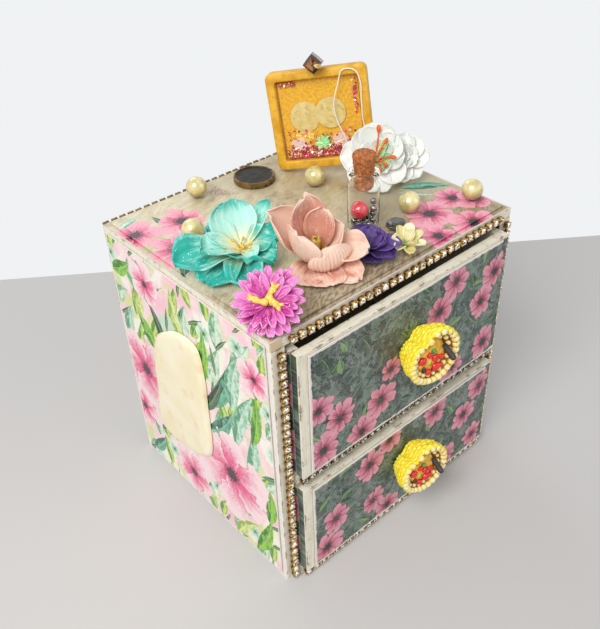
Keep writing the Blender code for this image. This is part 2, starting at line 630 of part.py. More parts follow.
def make_frame(finishes):
    """The square tray, its clear window, the card with sequins behind it, and the crystal on its front."""
    floor = -FRAME_DEPTH + FRAME_BACK_THICKNESS
    rings = [rounded_frame_ring(0, -FRAME_DEPTH), rounded_frame_ring(0, 0),
             rounded_frame_ring(FRAME_BORDER, 0), rounded_frame_ring(FRAME_BORDER, floor)]
    ringed("shaker_frame", rings, finishes["frame"], 40.0)
    window_inset = FRAME_BORDER + SEAT_GAP
    window_back = -WINDOW_RECESS - WINDOW_THICKNESS
    ringed("shaker_window", [rounded_frame_ring(window_inset, window_back),
                             rounded_frame_ring(window_inset, -WINDOW_RECESS)], finishes["window"])
    card_inset = FRAME_BORDER + SEAT_GAP + CARD_INSET
    card_back = floor + SEAT_GAP
    card_front = card_back + CARD_THICKNESS
    card = ringed("shaker_sequins", [rounded_frame_ring(card_inset, card_back),
                                     rounded_frame_ring(card_inset, card_front)], finishes["sequins"])
    inner_half = FRAME_WIDTH / 2 - FRAME_BORDER
    middle_up = FRAME_HEIGHT / 2
    discs = []
    for radius, places in ((DISC_RADIUS, DISC_PLACE_SHARES), (SEQUIN_RADIUS, SEQUIN_PLACE_SHARES)):
        for x, z in places:
            name = f"sequin_shape_{len(discs)}"
            reach = card_front + SEQUIN_DEPTH * (1 if radius == SEQUIN_RADIUS else DISC_DEPTH_SHARE)
            up = middle_up + z * (FRAME_HEIGHT - 2 * FRAME_BORDER)
            discs.append(frame_disc(name, radius, x * 2 * inner_half, up,
                                    (card_back + card_front) / 2, reach, finishes["sequins"]))
    fuse(card, discs)
    rings = []
    along = CRYSTAL_PLACE_SHARES[0] * FRAME_WIDTH
    up = CRYSTAL_PLACE_SHARES[1] * FRAME_HEIGHT
    for share, out in ((CRYSTAL_FACET_SHARE, -1), (1, -CRYSTAL_FACET_SHARE), (1, CRYSTAL_FACET_SHARE),
                       (CRYSTAL_FACET_SHARE, 1)):
        reach = CRYSTAL_HALF_DIAGONAL * share
        depth = SEAT_GAP + (1 + out) * CRYSTAL_HALF_DEPTH
        rings.append([frame_point(along + x * reach, up + z * reach, depth)
                      for x, z in ((1, 0), (0, 1), (-1, 0), (0, -1))])
    ringed("crystal_bead", rings, finishes["crystal"])


def smooth_path(points, spacing):
    """Points at even spacing on a Catmull-Rom curve through route points."""
    route = [points[0] * 2 - points[1], *points, points[-1] * 2 - points[-2]]
    fine = []
    for before, start, end, after in zip(route, route[1:], route[2:], route[3:]):
        fine += [curve_point(before, start, end, after, step / ROUTE_STEPS) for step in range(ROUTE_STEPS)]
    fine.append(points[-1])
    travelled = [0.0]
    for start, end in zip(fine, fine[1:]):
        travelled.append(travelled[-1] + (end - start).length)
    count = max(2, round(travelled[-1] / spacing))
    even, index = [], 0
    for step in range(count + 1):
        target = travelled[-1] * step / count
        while index < len(fine) - 2 and travelled[index + 1] < target:
            index += 1
        span = travelled[index + 1] - travelled[index]
        even.append(fine[index].lerp(fine[index + 1], (target - travelled[index]) / span))
    return even


def make_thread(finishes):
    """The loose thread loop that leans on the frame's front, both ends on the top behind the flower."""
    route = [frame_point(along, up, out) for along, up, out in THREAD_ROUTE]
    points = smooth_path(route, THREAD_DIAMETER * THREAD_STEP_DIAMETERS)
    curve = bpy.data.curves.new("thread_loop", "CURVE")
    curve.dimensions = "3D"
    curve.bevel_depth = THREAD_DIAMETER / 2
    curve.bevel_resolution = 2
    curve.use_fill_caps = True
    spline = curve.splines.new("POLY")
    spline.points.add(len(points) - 1)
    for place, point in zip(spline.points, points):
        place.co = (*point, 1.0)
    curve.materials.append(finishes["thread"])
    item = bpy.data.objects.new("thread_loop", curve)
    bpy.context.scene.collection.objects.link(item)


def flower(name, radius, rise, lift, tilt, place_shares, petal_shares, notch, steps, material):
    """A cupped flower as one body: a lobed sheet with an edge, tilted to face the viewer, on a short stem.

    Along each petal the reach is the petal's share of the radius, drawn in to the notch share
    between petals, and the height goes up with a power of the reach.
    """
    place = on_top(place_shares)
    petals = len(petal_shares)
    count = petals * steps
    face_turn = math.radians(FLOWERS_FACE_TURN)
    facing = Vector((math.cos(face_turn), math.sin(face_turn), 0))
    level = Vector((-facing.y, facing.x, 0))
    lean = math.radians(tilt)
    normal = Vector((0, 0, 1)) * math.cos(lean) + facing * math.sin(lean)
    downhill = facing * math.cos(lean) - Vector((0, 0, 1)) * math.sin(lean)
    base = Vector((*place, TOP_SEAT + FLOWER_HUB_HEIGHT + lift))

    def ring(ring_share, drop):
        points = []
        for step in range(count):
            turn = 2 * math.pi * step / count
            petal = step // steps
            t = (step % steps) / steps
            lobe = abs(math.sin(math.pi * t)) ** FLOWER_LOBE_POWER
            long = petal_shares[petal] if t else 1.0
            edge = notch + (long - notch) * lobe
            share = ring_share * (1 + (edge - 1) * ring_share)
            height = rise * share ** FLOWER_CUP_POWER - drop
            points.append(base + normal * height + downhill * (radius * share * math.cos(turn))
                          + level * (radius * share * math.sin(turn)))
        return points

    hub = radius * FLOWER_HUB_SHARE
    foot = [Vector((*place, TOP_SEAT)) + (facing * math.cos(turn) + level * math.sin(turn)) * hub
            for turn in (2 * math.pi * step / count for step in range(count))]
    rings = [foot]
    rings += [ring(share, FLOWER_THICKNESS) for share in FLOWER_RING_SHARES]
    rings += [ring(share, 0) for share in reversed(FLOWER_RING_SHARES)]
    return ringed(name, rings, material, 60.0, (True, True))


def make_flowers(finishes):
    """The five single flowers and the white pair, which is fused into one."""
    flower("teal_flower", TEAL_RADIUS, TEAL_RISE, TEAL_LIFT, TEAL_TILT, TEAL_PLACE_SHARES,
           TEAL_PETAL_SHARES, TEAL_NOTCH_SHARE, PETAL_STEPS, finishes["teal"])
    flower("peach_flower", PEACH_RADIUS, PEACH_RISE, PEACH_LIFT, PEACH_TILT, PEACH_PLACE_SHARES,
           PEACH_PETAL_SHARES, PEACH_NOTCH_SHARE, PETAL_STEPS, finishes["peach"])
    flower("magenta_daisy", DAISY_RADIUS, DAISY_RISE, DAISY_LIFT, DAISY_TILT, DAISY_PLACE_SHARES,
           DAISY_PETAL_SHARES, DAISY_NOTCH_SHARE, DAISY_STEPS, finishes["magenta"])
    flower("purple_flower", PURPLE_RADIUS, PURPLE_RISE, PURPLE_LIFT, PURPLE_TILT, PURPLE_PLACE_SHARES,
           PURPLE_PETAL_SHARES, SMALL_NOTCH_SHARE, SMALL_PETAL_STEPS, finishes["purple"])
    flower("cream_flower", CREAM_RADIUS, CREAM_RISE, CREAM_LIFT, CREAM_TILT, CREAM_PLACE_SHARES,
           CREAM_PETAL_SHARES, SMALL_NOTCH_SHARE, SMALL_PETAL_STEPS, finishes["cream"])
    white = flower("white_flower", WHITE_RADIUS, WHITE_RISE, WHITE_LIFT, WHITE_TILT, WHITE_PLACE_SHARES,
                   WHITE_PETAL_SHARES, WHITE_NOTCH_SHARE, PETAL_STEPS, finishes["white"])
    blossom = flower("white_blossom_shape", BLOSSOM_RADIUS, BLOSSOM_RISE, BLOSSOM_LIFT, BLOSSOM_TILT,
                     BLOSSOM_PLACE_SHARES, BLOSSOM_PETAL_SHARES, WHITE_NOTCH_SHARE, PETAL_STEPS,
                     finishes["white"])
    fuse(white, [blossom])


def make_vial(finishes):
    """A glass vial with a tapered cork, one red bead and a string of dark beads inside."""
    centre = on_top(VIAL_PLACE_SHARES)
    floor = TOP_SEAT
    inner = VIAL_RADIUS - VIAL_WALL
    neck_inner = VIAL_NECK_RADIUS - VIAL_WALL
    top = floor + VIAL_HEIGHT
    profile = [
        (VIAL_RADIUS - VIAL_FOOT_ROUND, floor), (VIAL_RADIUS, floor + VIAL_FOOT_ROUND),
        (VIAL_RADIUS, floor + VIAL_SHOULDER_HEIGHT), (VIAL_NECK_RADIUS, floor + VIAL_NECK_HEIGHT),
        (VIAL_NECK_RADIUS, top - VIAL_LIP_DEPTH),
        (VIAL_LIP_RADIUS, top - VIAL_LIP_DEPTH * VIAL_LIP_ROUND_SHARE),
        (VIAL_LIP_RADIUS, top), (neck_inner, top),
        (neck_inner, floor + VIAL_NECK_HEIGHT - VIAL_WALL), (inner, floor + VIAL_SHOULDER_HEIGHT - VIAL_WALL),
        (inner, floor + VIAL_FLOOR),
    ]
    turned("vial_glass", profile, centre, VIAL_SEGMENTS, finishes["glass"], 40.0, (True, True))
    cork_low = top - CORK_INSERTION
    cork_top = cork_low + CORK_LENGTH
    turned("vial_cork",
           [(CORK_LOW_RADIUS - CORK_ROUND, cork_low), (CORK_LOW_RADIUS, cork_low + CORK_ROUND),
            (CORK_LOW_RADIUS, top), (CORK_TOP_RADIUS, cork_top - CORK_ROUND),
            (CORK_TOP_RADIUS - CORK_ROUND, cork_top)],
           centre, VIAL_SEGMENTS, finishes["cork"])
    turn = math.radians(BEADS_TURN)
    seat = floor + VIAL_FLOOR + SEAT_GAP
    ball("red_bead", RED_BEAD_RADIUS,
         (centre[0] - RED_BEAD_OFFSET * math.cos(turn), centre[1] - RED_BEAD_OFFSET * math.sin(turn),
          seat + RED_BEAD_RADIUS), finishes["red_bead"])
    beads = []
    for index in range(DARK_BEADS):
        place = (centre[0] + DARK_BEAD_OFFSET * math.cos(turn), centre[1] + DARK_BEAD_OFFSET * math.sin(turn),
                 seat + DARK_BEAD_RADIUS + DARK_BEAD_STEP * index)
        name = "dark_beads" if index == 0 else f"dark_bead_shape_{index}"
        beads.append(ball(name, DARK_BEAD_RADIUS, place, finishes["dark_bead"]))
    fuse(beads[0], beads[1:])


def make_top_trinkets(finishes):
    """Five pearls, the bronze medal with its loop, and the dark stone."""
    for index, shares in enumerate(PEARL_PLACE_SHARES, 1):
        x, y = on_top(shares)
        ball(f"pearl_{index}", PEARL_RADIUS, (x, y, TOP_SEAT + PEARL_RADIUS), finishes["pearl"])
    centre = on_top(MEDAL_PLACE_SHARES)
    face = TOP_SEAT + MEDAL_THICKNESS
    medal = turned("medal", [(MEDAL_RADIUS, TOP_SEAT), (MEDAL_RADIUS, face), (MEDAL_RADIUS - MEDAL_RIM, face),
                             (MEDAL_RADIUS - MEDAL_RIM, face - MEDAL_SUNK)],
                   centre, MEDAL_SEGMENTS, finishes["medal"], 40.0)
    turn = math.radians(MEDAL_LOOP_TURN)
    loop_centre = (centre[0] + MEDAL_RADIUS * math.cos(turn), centre[1] + MEDAL_RADIUS * math.sin(turn))
    loop = turned("medal_loop_shape", [(MEDAL_LOOP_RADIUS, TOP_SEAT + MEDAL_SUNK),
                                       (MEDAL_LOOP_RADIUS, face - MEDAL_SUNK / 2)],
                  loop_centre, BEAD_SEGMENTS, finishes["medal"], 40.0)
    fuse(medal, [loop])
    centre = on_top(STONE_PLACE_SHARES)
    turned("dark_stone", [(STONE_RADIUS * reach, TOP_SEAT + STONE_HEIGHT * height)
                          for reach, height in STONE_RING_SHARES],
           centre, STONE_SEGMENTS, finishes["stone"], 20.0, (True, False))


def main():
    """Build every piece of the chest."""
    clear_scene()
    finishes = make_finishes()
    make_case(finishes)
    make_papers(finishes)
    make_plaque(finishes)
    make_trims(finishes)
    make_drawer("upper", SHELF_TOP + SEAT_GAP, OPENING_TOP - DRAWER_TOP_GAP, finishes)
    make_drawer("lower", BOTTOM_THICKNESS + SEAT_GAP, SHELF_UNDERSIDE - DRAWER_TOP_GAP, finishes)
    make_frame(finishes)
    make_thread(finishes)
    make_flowers(finishes)
    make_vial(finishes)
    make_top_trinkets(finishes)


main()
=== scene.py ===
import math

import bmesh
import bpy
import numpy as np
from mathutils import Matrix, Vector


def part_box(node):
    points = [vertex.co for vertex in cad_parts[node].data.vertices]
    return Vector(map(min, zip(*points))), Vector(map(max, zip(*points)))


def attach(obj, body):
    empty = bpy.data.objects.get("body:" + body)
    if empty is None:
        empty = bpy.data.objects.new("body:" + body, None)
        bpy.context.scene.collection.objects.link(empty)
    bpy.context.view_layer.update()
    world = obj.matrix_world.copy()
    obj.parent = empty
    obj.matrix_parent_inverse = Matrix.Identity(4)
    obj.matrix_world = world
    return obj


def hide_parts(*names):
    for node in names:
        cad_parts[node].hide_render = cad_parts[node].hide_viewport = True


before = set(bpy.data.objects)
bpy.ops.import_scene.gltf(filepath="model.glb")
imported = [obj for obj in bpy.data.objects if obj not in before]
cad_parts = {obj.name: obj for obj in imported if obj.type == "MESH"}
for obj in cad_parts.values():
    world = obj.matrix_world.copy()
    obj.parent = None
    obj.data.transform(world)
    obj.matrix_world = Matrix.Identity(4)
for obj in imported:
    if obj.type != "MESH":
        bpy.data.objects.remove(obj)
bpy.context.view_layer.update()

# Shapes are worked out in millimetres, and piece() turns them into metres.
MM = 0.001
# Every random value is drawn from here, so the order of the draws is part of the shapes.
draws = np.random.default_rng(20)

CASE_WIDTH, CASE_DEPTH, CASE_HEIGHT = 100, 84, 100
SIDE_WALL, BOARD, DRAWER_GAP = 4.5, 3.0, 1.0
TOP_SEAT = 100.9        # the height of everything that stands on the top paper
VIEWER_TURN = -129.9    # the direction of the camera about the upright axis, in degrees


def span(node):
    """The lowest and highest corner of a frame node, in millimetres."""
    low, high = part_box(node)
    return np.array(low) / MM, np.array(high) / MM


# ---- shapes ----

def unit(vectors):
    """Vectors brought to length one."""
    vectors = np.asarray(vectors, float)
    return vectors / np.linalg.norm(vectors, axis=-1, keepdims=True)


def turns(count):
    """Equal angles round a circle."""
    return np.linspace(0, 2 * np.pi, count, endpoint=False)


def quads(rows, columns, wrap=True, wrap_rows=False):
    """Faces between neighbouring points of a grid; wrap joins the last column to the first."""
    row, column = np.meshgrid(np.arange(rows if wrap_rows else rows - 1),
                              np.arange(columns if wrap else columns - 1), indexing="ij")
    after, above = (column + 1) % columns, (row + 1) % rows
    return np.stack([row * columns + column, row * columns + after,
                     above * columns + after, above * columns + column], -1).reshape(-1, 4)


def closed_rings(rings, tips=None):
    """A closed body from rings (rows, columns, 3); its ends close to their middles, or to two tips."""
    rows, columns, _ = rings.shape
    ends = np.array([rings[0].mean(0), rings[-1].mean(0)] if tips is None else tips)
    count = rows * columns
    here = np.arange(columns)
    after = (here + 1) % columns
    last = count - columns
    low_fan = np.stack([after, here, np.full(columns, count)], -1)
    high_fan = np.stack([last + here, last + after, np.full(columns, count + 1)], -1)
    return np.concatenate([rings.reshape(-1, 3), ends]), [quads(rows, columns), low_fan, high_fan]


def wound(rings):
    """A closed body from rings (rows, columns, 3) of which the last joins the first."""
    return rings.reshape(-1, 3), [quads(*rings.shape[:2], wrap_rows=True)]


def polar(reach, turn, height):
    """Points at a reach, an angle and a height about the upright axis."""
    return np.stack(np.broadcast_arrays(reach * np.cos(turn), reach * np.sin(turn), height), -1)


def lathe(profile, sides=48, centre=(0, 0, 0)):
    """A closed body of (radius, height) pairs turned about an upright axis."""
    radius, height = np.array(profile, float).T[:, :, None]
    return closed_rings(polar(radius, turns(sides), height) + centre)


def facets(sides, steps, centre=(0, 0, 0)):
    """A cut stone: rings of (reach, height, shift), each turned by its shift in halves of a side."""
    reach, height, shift = np.array(steps, float).T[:, :, None]
    return closed_rings(polar(reach, turns(sides) + shift * np.pi / sides, height) + centre)


def ball(centre, radius, rows=14, sides=24, stretch=(1, 1, 1)):
    """A sphere: radius times (sin a cos b, sin a sin b, -cos a), stretched along the axes."""
    a = np.linspace(0, np.pi, rows + 2)[1:-1, None]
    points, faces = closed_rings(polar(np.sin(a), turns(sides), -np.cos(a)), [(0, 0, -1), (0, 0, 1)])
    return points * radius * stretch + centre, faces


def tube(path, radius, sides=8, guide=(0, 0, 1)):
    """Circles across a path, in the plane of two directions square to it, closed at both ends."""
    path = np.asarray(path, float)
    tangent = unit(np.gradient(path, axis=0))
    normal = unit(np.cross(tangent, guide))
    binormal = np.cross(tangent, normal)
    turn = turns(sides)[None, :, None]
    reach = np.broadcast_to(radius, len(path))[:, None, None]
    return closed_rings(path[:, None] + reach * (np.cos(turn) * normal[:, None]
                                                 + np.sin(turn) * binormal[:, None]))


def placed(patch, centre, x_axis, y_axis, z_axis):
    """A patch carried from its own axes to a place."""
    points = patch[0] @ np.array([x_axis, y_axis, z_axis], float) + np.array(centre, float)
    return (points, *patch[1:])


def marked(patch, value):
    """A patch that keeps a value at its points, for its finish to read."""
    points, faces = patch[:2]
    return points, faces, np.repeat(np.broadcast_to(value, len(points))[:, None], 3, 1)


def spanned(before, start, end, after, steps):
    """Catmull-Rom spans from start to end, steered by the points before and after them."""
    t = np.linspace(0, 1, steps, endpoint=False)[None, :, None]
    curve = (2 * start + (end - before) * t + (2 * before - 5 * start + 4 * end - after) * t ** 2
             + (3 * start - before - 3 * end + after) * t ** 3) / 2
    return curve.reshape(-1, curve.shape[-1])


def smooth_path(points, steps):
    """A smooth curve through points, with some steps for each span."""
    points = np.array(points, float)
    route = np.concatenate([[2 * points[0] - points[1]], points, [2 * points[-1] - points[-2]]])
    around = (route[shift:len(route) - 3 + shift, None] for shift in range(4))
    return np.concatenate([spanned(*around, steps), points[-1:]])


def smooth_loop(points, steps):
    """A smooth closed curve through points, with some steps for each span."""
    return spanned(*(np.roll(points, 1 - shift, 0)[:, None] for shift in range(4)), steps)


def stood(name, data):
    """A new object in the scene."""
    made = bpy.data.objects.new(name, data)
    bpy.context.scene.collection.objects.link(made)
    return made


def piece(name, patches, finish, body="case", slot=None, replaces=(), smooth=40.0, wall=None):
    """One object from patches of (points in mm, face groups, values at the points).

    A wall gives a sheet its thickness in millimetres; a piece with no wall is closed already.
    """
    starts = np.cumsum([0] + [len(patch[0]) for patch in patches])
    faces = [face for patch, start in zip(patches, starts) for group in patch[1]
             for face in (group + start).tolist()]
    mesh = bpy.data.meshes.new(name)
    mesh.from_pydata((np.concatenate([patch[0] for patch in patches]) * MM).tolist(), [], faces)
    if len(patches[0]) > 2:
        values = np.concatenate([patch[2] for patch in patches]).astype(np.float32)
        mesh.attributes.new("place", "FLOAT_VECTOR", "POINT").data.foreach_set("vector", values.ravel())
    if wall is None:
        shell = bmesh.new()
        shell.from_mesh(mesh)
        bmesh.ops.recalc_face_normals(shell, faces=shell.faces[:])
        shell.to_mesh(mesh)
        shell.free()
    if smooth:
        mesh.shade_smooth()
        mesh.set_sharp_from_angle(angle=math.radians(smooth))
    mesh.materials.append(finish.material)
    made = stood(name, mesh)
    if wall:
        thicken = made.modifiers.new("wall", "SOLIDIFY")
        thicken.thickness = wall * MM
        thicken.offset = 0.0
    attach(made, body)
    if replaces:
        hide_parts(*replaces)
    return made


def give_glint(made):
    """Give each face of an object a random value of its own, for its finish to read as painted glints."""
    values = draws.random(len(made.data.polygons)).astype(np.float32)
    made.data.attributes.new("glint", "FLOAT", "FACE").data.foreach_set("value", values)


# ---- finishes ----

def tint(red, green, blue):
    """A colour from its screen values, 0 to 255, as linear light."""
    share = np.array([red, green, blue]) / 255
    return tuple(np.where(share <= 0.04045, share / 12.92, ((share + 0.055) / 1.055) ** 2.4).tolist())


class Wire:
    """A material's socket, on which arithmetic adds Math nodes."""

    def __init__(self, finish, socket):
        self.finish = finish
        self.socket = socket

    def maths(self, operation, *values):
        return self.finish.node("Math", {"operation": operation}, dict(enumerate(values)))

    def __add__(self, other):
        return self.maths("ADD", self, other)

    __radd__ = __add__

    def __sub__(self, other):
        return self.maths("SUBTRACT", self, other)

    def __rsub__(self, other):
        return self.maths("SUBTRACT", other, self)

    def __mul__(self, other):
        return self.maths("MULTIPLY", self, other)

    __rmul__ = __mul__

    def __truediv__(self, other):
        return self.maths("DIVIDE", self, other)

    def __rtruediv__(self, other):
        return self.maths("DIVIDE", other, self)

    def __pow__(self, other):
        return self.maths("POWER", self, other)

    def at_least(self, other):
        return self.maths("MAXIMUM", self, other)

    def at_most(self, other):
        return self.maths("MINIMUM", self, other)

    def below(self, other):
        return self.maths("LESS_THAN", self, other)

    def size(self):
        return self.maths("ABSOLUTE", self)

    def root(self):
        return self.maths("SQRT", self)

    def sine(self):
        return self.maths("SINE", self)

    def cosine(self):
        return self.maths("COSINE", self)

    def other(self, output):
        """Another output of the node that this one comes from."""
        return Wire(self.finish, self.socket.node.outputs[output])


class Nodes:
    """A node tree and the ways to add to it."""

    def node(self, kind, settings=None, values=None, output=0):
        """A node, its settings first, then the values or links of its sockets; gives one output."""
        made = self.tree.nodes.new("ShaderNode" + kind)
        for key, value in (settings or {}).items():
            setattr(made, key, value)
        for key, value in (values or {}).items():
            self.fill(made.inputs[key], value)
        return Wire(self, made.outputs[output])

    def fill(self, socket, value):
        """Link a socket, or set its constant."""
        if isinstance(value, Wire):
            self.tree.links.new(value.socket, socket)
        elif np.isscalar(value):
            socket.default_value = value
        else:
            socket.default_value = (*value, 1.0)[:len(socket.default_value)]

    def parts(self, wire):
        """The three parts of a vector."""
        x = self.node("SeparateXYZ", None, {0: wire})
        return x, x.other("Y"), x.other("Z")

    def spot(self, x, y, z=0.0):
        """A vector from three values."""
        return self.node("CombineXYZ", None, {0: x, 1: y, 2: z})

    def blend(self, share, low, high):
        """A colour between two."""
        return self.node("Mix", {"data_type": "RGBA"}, {0: share, 6: low, 7: high}, 2)

    def over(self, colour, *layers):
        """A colour with others laid over it, each by its own share."""
        for share, layer in layers:
            colour = self.blend(share, colour, layer)
        return colour

    def step(self, wire, low, high):
        """A smooth step from 0 at low to 1 at high."""
        return self.node("MapRange", {"interpolation_type": "SMOOTHSTEP"}, {0: wire, 1: low, 2: high})

    def noise(self, spot, grain, detail=3.0, warp=0.0, rough=0.5):
        """Noise of a grain in millimetres, about 0.3 to 0.7."""
        return self.node("TexNoise", None, {"Vector": spot, "Scale": 1 / grain, "Detail": detail,
                                            "Roughness": rough, "Distortion": warp})

    def wide_noise(self, spot, grain, detail=3.0, warp=0.0):
        """Noise spread out to 0 to 1."""
        return self.step(self.noise(spot, grain, detail, warp), 0.3, 0.7)

    def stamp(self, stencil, *values):
        """A stencil's colour, with its values in the order of its sockets."""
        return self.node("Group", {"node_tree": stencil.tree}, dict(enumerate(values)))


class Stencil(Nodes):
    """A pattern that finishes share, as a node group; its draw function turns the sockets into a colour."""

    def __init__(self, name, colours, numbers, draw):
        self.tree = bpy.data.node_groups.new(name, "ShaderNodeTree")
        for kind, keys in (("NodeSocketColor", colours), ("NodeSocketFloat", numbers)):
            for key in keys.split():
                self.tree.interface.new_socket(key, in_out="INPUT", socket_type=kind)
        self.tree.interface.new_socket("colour", in_out="OUTPUT", socket_type="NodeSocketColor")
        sockets = self.tree.nodes.new("NodeGroupInput").outputs
        drawn = draw(self, *(Wire(self, socket) for socket in list(sockets)[:-1]))
        self.fill(self.tree.nodes.new("NodeGroupOutput").inputs[0], drawn)


class Finish(Nodes):
    """A material of nodes round one Principled shader; x, y and z are the place in millimetres."""

    def __init__(self, name):
        self.material = bpy.data.materials.new(name)
        self.material.use_nodes = True
        self.tree = self.material.node_tree
        self.shader = self.tree.nodes["Principled BSDF"]
        place = self.node("TexCoord", output="Object")
        self.x, self.y, self.z = (wire * (1 / MM) for wire in self.parts(place))

    def here(self):
        """The place in millimetres as a vector."""
        return self.spot(self.x, self.y, self.z)

    def place(self):
        """The three values that a piece keeps at its points."""
        return self.parts(self.node("Attribute", {"attribute_name": "place"}, output="Vector"))

    def glint(self):
        """The random value that each face of a cut stone keeps, for its painted glints."""
        return self.node("Attribute", {"attribute_name": "glint"}, output="Fac")

    def bump(self, height, depth, strength=1.0):
        """The normal for a height of 0 to 1, with its depth in millimetres."""
        return self.node("Bump", None, {"Height": height, "Distance": depth * MM, "Strength": strength})

    def set(self, colour, roughness, metallic=0.0, normal=None, coat=(0.0, 0.03), **others):
        """Fill the shader's sockets; a coat is its weight and its roughness."""
        weight, polish = coat
        for key, value in dict(base_color=colour, roughness=roughness, metallic=metallic, normal=normal,
                               coat_weight=weight, coat_roughness=polish, **others).items():
            if value is not None:
                self.fill(self.shader.inputs[key.replace("_", " ").title().replace("Ior", "IOR")], value)
        return self


def mottled(name, low, high, grain, roughness, metallic=0.0, detail=3.0, warp=0.0, **others):
    """A finish that drifts between two near colours, with a grain in millimetres."""
    f = Finish(name)
    return f.set(f.blend(f.wide_noise(f.here(), grain, detail, warp), low, high), roughness, metallic, **others)


def fibrous(name, low, high, grain, detail, roughness, depth, strength, **others):
    """A finish of fibres in two near colours, which also press it, with their grain and depth in millimetres."""
    f = Finish(name)
    fibre = f.noise(f.here(), grain, detail)
    return f.set(f.blend(f.step(fibre, 0.35, 0.65), low, high), roughness, normal=f.bump(fibre, depth, strength),
                 **others)


# ---- printed papers ----

def cells(f, u, v, pitch, seed):
    """Where a point lies from the nearest of many scattered spots, and that spot's three random values."""
    spot = f.spot(u / pitch + seed * 7.31, v / pitch - seed * 3.17)
    cell = f.node("TexVoronoi", {"voronoi_dimensions": "2D"}, {"Vector": spot, "Scale": 1.0,
                                                               "Randomness": 0.85})
    away = f.node("VectorMath", {"operation": "SUBTRACT"}, {0: spot, 1: cell.other("Position")})
    du, dv, _ = f.parts(away)
    return du * pitch, dv * pitch, f.parts(cell.other("Color"))


def draw_leaf(f, ground, dark, light, fine, soft, du, dv, length, width, lean, bend):
    """A lance-shaped leaf: half width times one minus the square of the reach, fuller near its foot."""
    cosine, sine = lean.cosine(), lean.sine()
    along = (du * cosine + dv * sine) / length
    across = dv * cosine - du * sine + (along * along - 0.3) * bend
    half = (1 - along * along) * (1 - along * 0.45).at_least(0.2) * width + (fine - 0.5) * 0.8
    inside = f.step(half - across.size(), 0.0, 0.2)
    streak = (across / width * 5 + soft * 16 + along * 2).sine() * 0.14
    side = f.step(across, -0.12, 0.12) * 0.26
    colour = f.blend(f.step(streak + fine * 0.7 + soft * 0.5 + side, 0.42, 1.0), dark, light)
    pale = f.blend(0.45, light, (0.9, 0.95, 0.85))
    colour = f.blend(f.step(across.size(), 0.2, 0.04) * 0.6, colour, pale)
    edge = f.step(half - across.size(), 0.45, 0.1) * f.step(fine, 0.44, 0.58)
    return f.blend(inside, ground, f.blend(edge * 0.6, colour, dark))


def draw_bloom(f, ground, deep, pale, heart, fine, soft, du, dv, radius, petals, turn, heart_share):
    """A painted flower: broad petals whose edge follows a cosine of the angle, each of its own length."""
    reach = (du * du + dv * dv + 0.001).root()
    angle = f.node("Math", {"operation": "ARCTAN2"}, {0: dv, 1: du})
    phase = (angle + (soft - 0.5) * 1.1) * petals * (0.5 / math.pi) + turn
    order = phase.maths("FLOOR", phase + 0.5)
    chance = f.node("TexWhiteNoise", {"noise_dimensions": "1D"},
                    {"W": order.maths("FLOORED_MODULO", order, petals) + turn * 31})
    lobe = (phase * math.pi).cosine().size()
    edge = (lobe ** 0.42 * 0.42 + 0.53) * (chance * 0.26 + 0.80) * radius + (fine - 0.5) * 1.3
    inside = f.step(edge - reach, 0.0, 0.3)
    share = reach / edge
    fold = phase - order
    streak = (fold * 22 + fine * 9 + chance * 9).sine() * 0.25 + fine
    tone = f.step(share + (streak - 0.5) * 0.55 + fold * 0.42 + (chance - 0.5) * 0.3, 0.14, 0.86)
    vein = f.step(streak, 0.62, 0.74) * f.step(share, 0.95, 0.45)
    crease = f.step(fold, -0.36, -0.48) * f.step(share, 0.15, 0.35)
    rim = f.step(edge - reach, 0.5, 0.15) * f.step(fine, 0.45, 0.6)
    ring = f.step(reach / radius, heart_share * 1.8, heart_share * 1.3) * f.step(streak, 0.5, 0.62)
    centre = f.step((fine * 0.7 + 0.65) * radius * heart_share - reach, -0.12, 0.25)
    painted = f.over(f.blend(tone, deep, pale), (vein * 0.55, deep), (crease * 0.75, deep), (rim * 0.5, deep),
                     (ring, heart), (centre, heart))
    return f.blend(inside, ground, painted)


def draw_leaves(f, ground, dark, light, fine, soft, u, v, pitch, seed, length, width, lean, spread, keep):
    """Leaves at scattered spots, each turned by its own random share of a spread."""
    du, dv, (swing, chance, growth) = cells(f, u, v, pitch, seed)
    printed = f.stamp(leaf, ground, dark, light, fine, soft, du, dv, length * (growth * 0.5 + 0.75), width,
                      lean + (swing - 0.5) * spread, width * (growth - 0.5))
    return f.blend(chance.below(keep), ground, printed)


def draw_dabs(f, ground, dark, light, fine, soft, u, v, pitch, seed, amount):
    """Dry brush dabs: noise drawn out along a direction that changes from one dab to the next."""
    du, dv, (swing, shift, shade) = cells(f, u + (fine - 0.5) * pitch, v + (soft - 0.5) * pitch, pitch, seed)
    turn = swing * 1.9 + 0.6
    along = du * turn.cosine() + dv * turn.sine()
    across = dv * turn.cosine() - du * turn.sine() + along * along * (0.16 / pitch)
    bristle = f.noise(f.spot(along * 0.2, across, shift * 30), 0.8, 2.0)
    tone = f.step(bristle + (shade - 0.5) * 0.2, 0.42, 0.62)
    return f.blend(amount, ground, f.blend(tone, dark, light))


leaf = Stencil("printed_leaf", "ground dark light", "fine soft u v length width lean bend", draw_leaf)
bloom = Stencil("printed_bloom", "ground deep pale heart", "fine soft u v radius petals turn heart_share",
                draw_bloom)
leaves = Stencil("scattered_leaves", "ground dark light",
                 "fine soft u v pitch seed length width lean spread keep", draw_leaves)
dabs = Stencil("brush_dabs", "ground dark light", "fine soft u v pitch seed amount", draw_dabs)

LEAF_TONES = {
    "green": (tint(34, 118, 22), tint(150, 210, 66)), "mint": (tint(76, 156, 118), tint(206, 238, 214)),
    "teal": (tint(18, 92, 74), tint(112, 192, 160)), "dark": (tint(20, 46, 34), tint(84, 126, 86)),
    "lime": (tint(140, 178, 50), tint(232, 238, 160))}


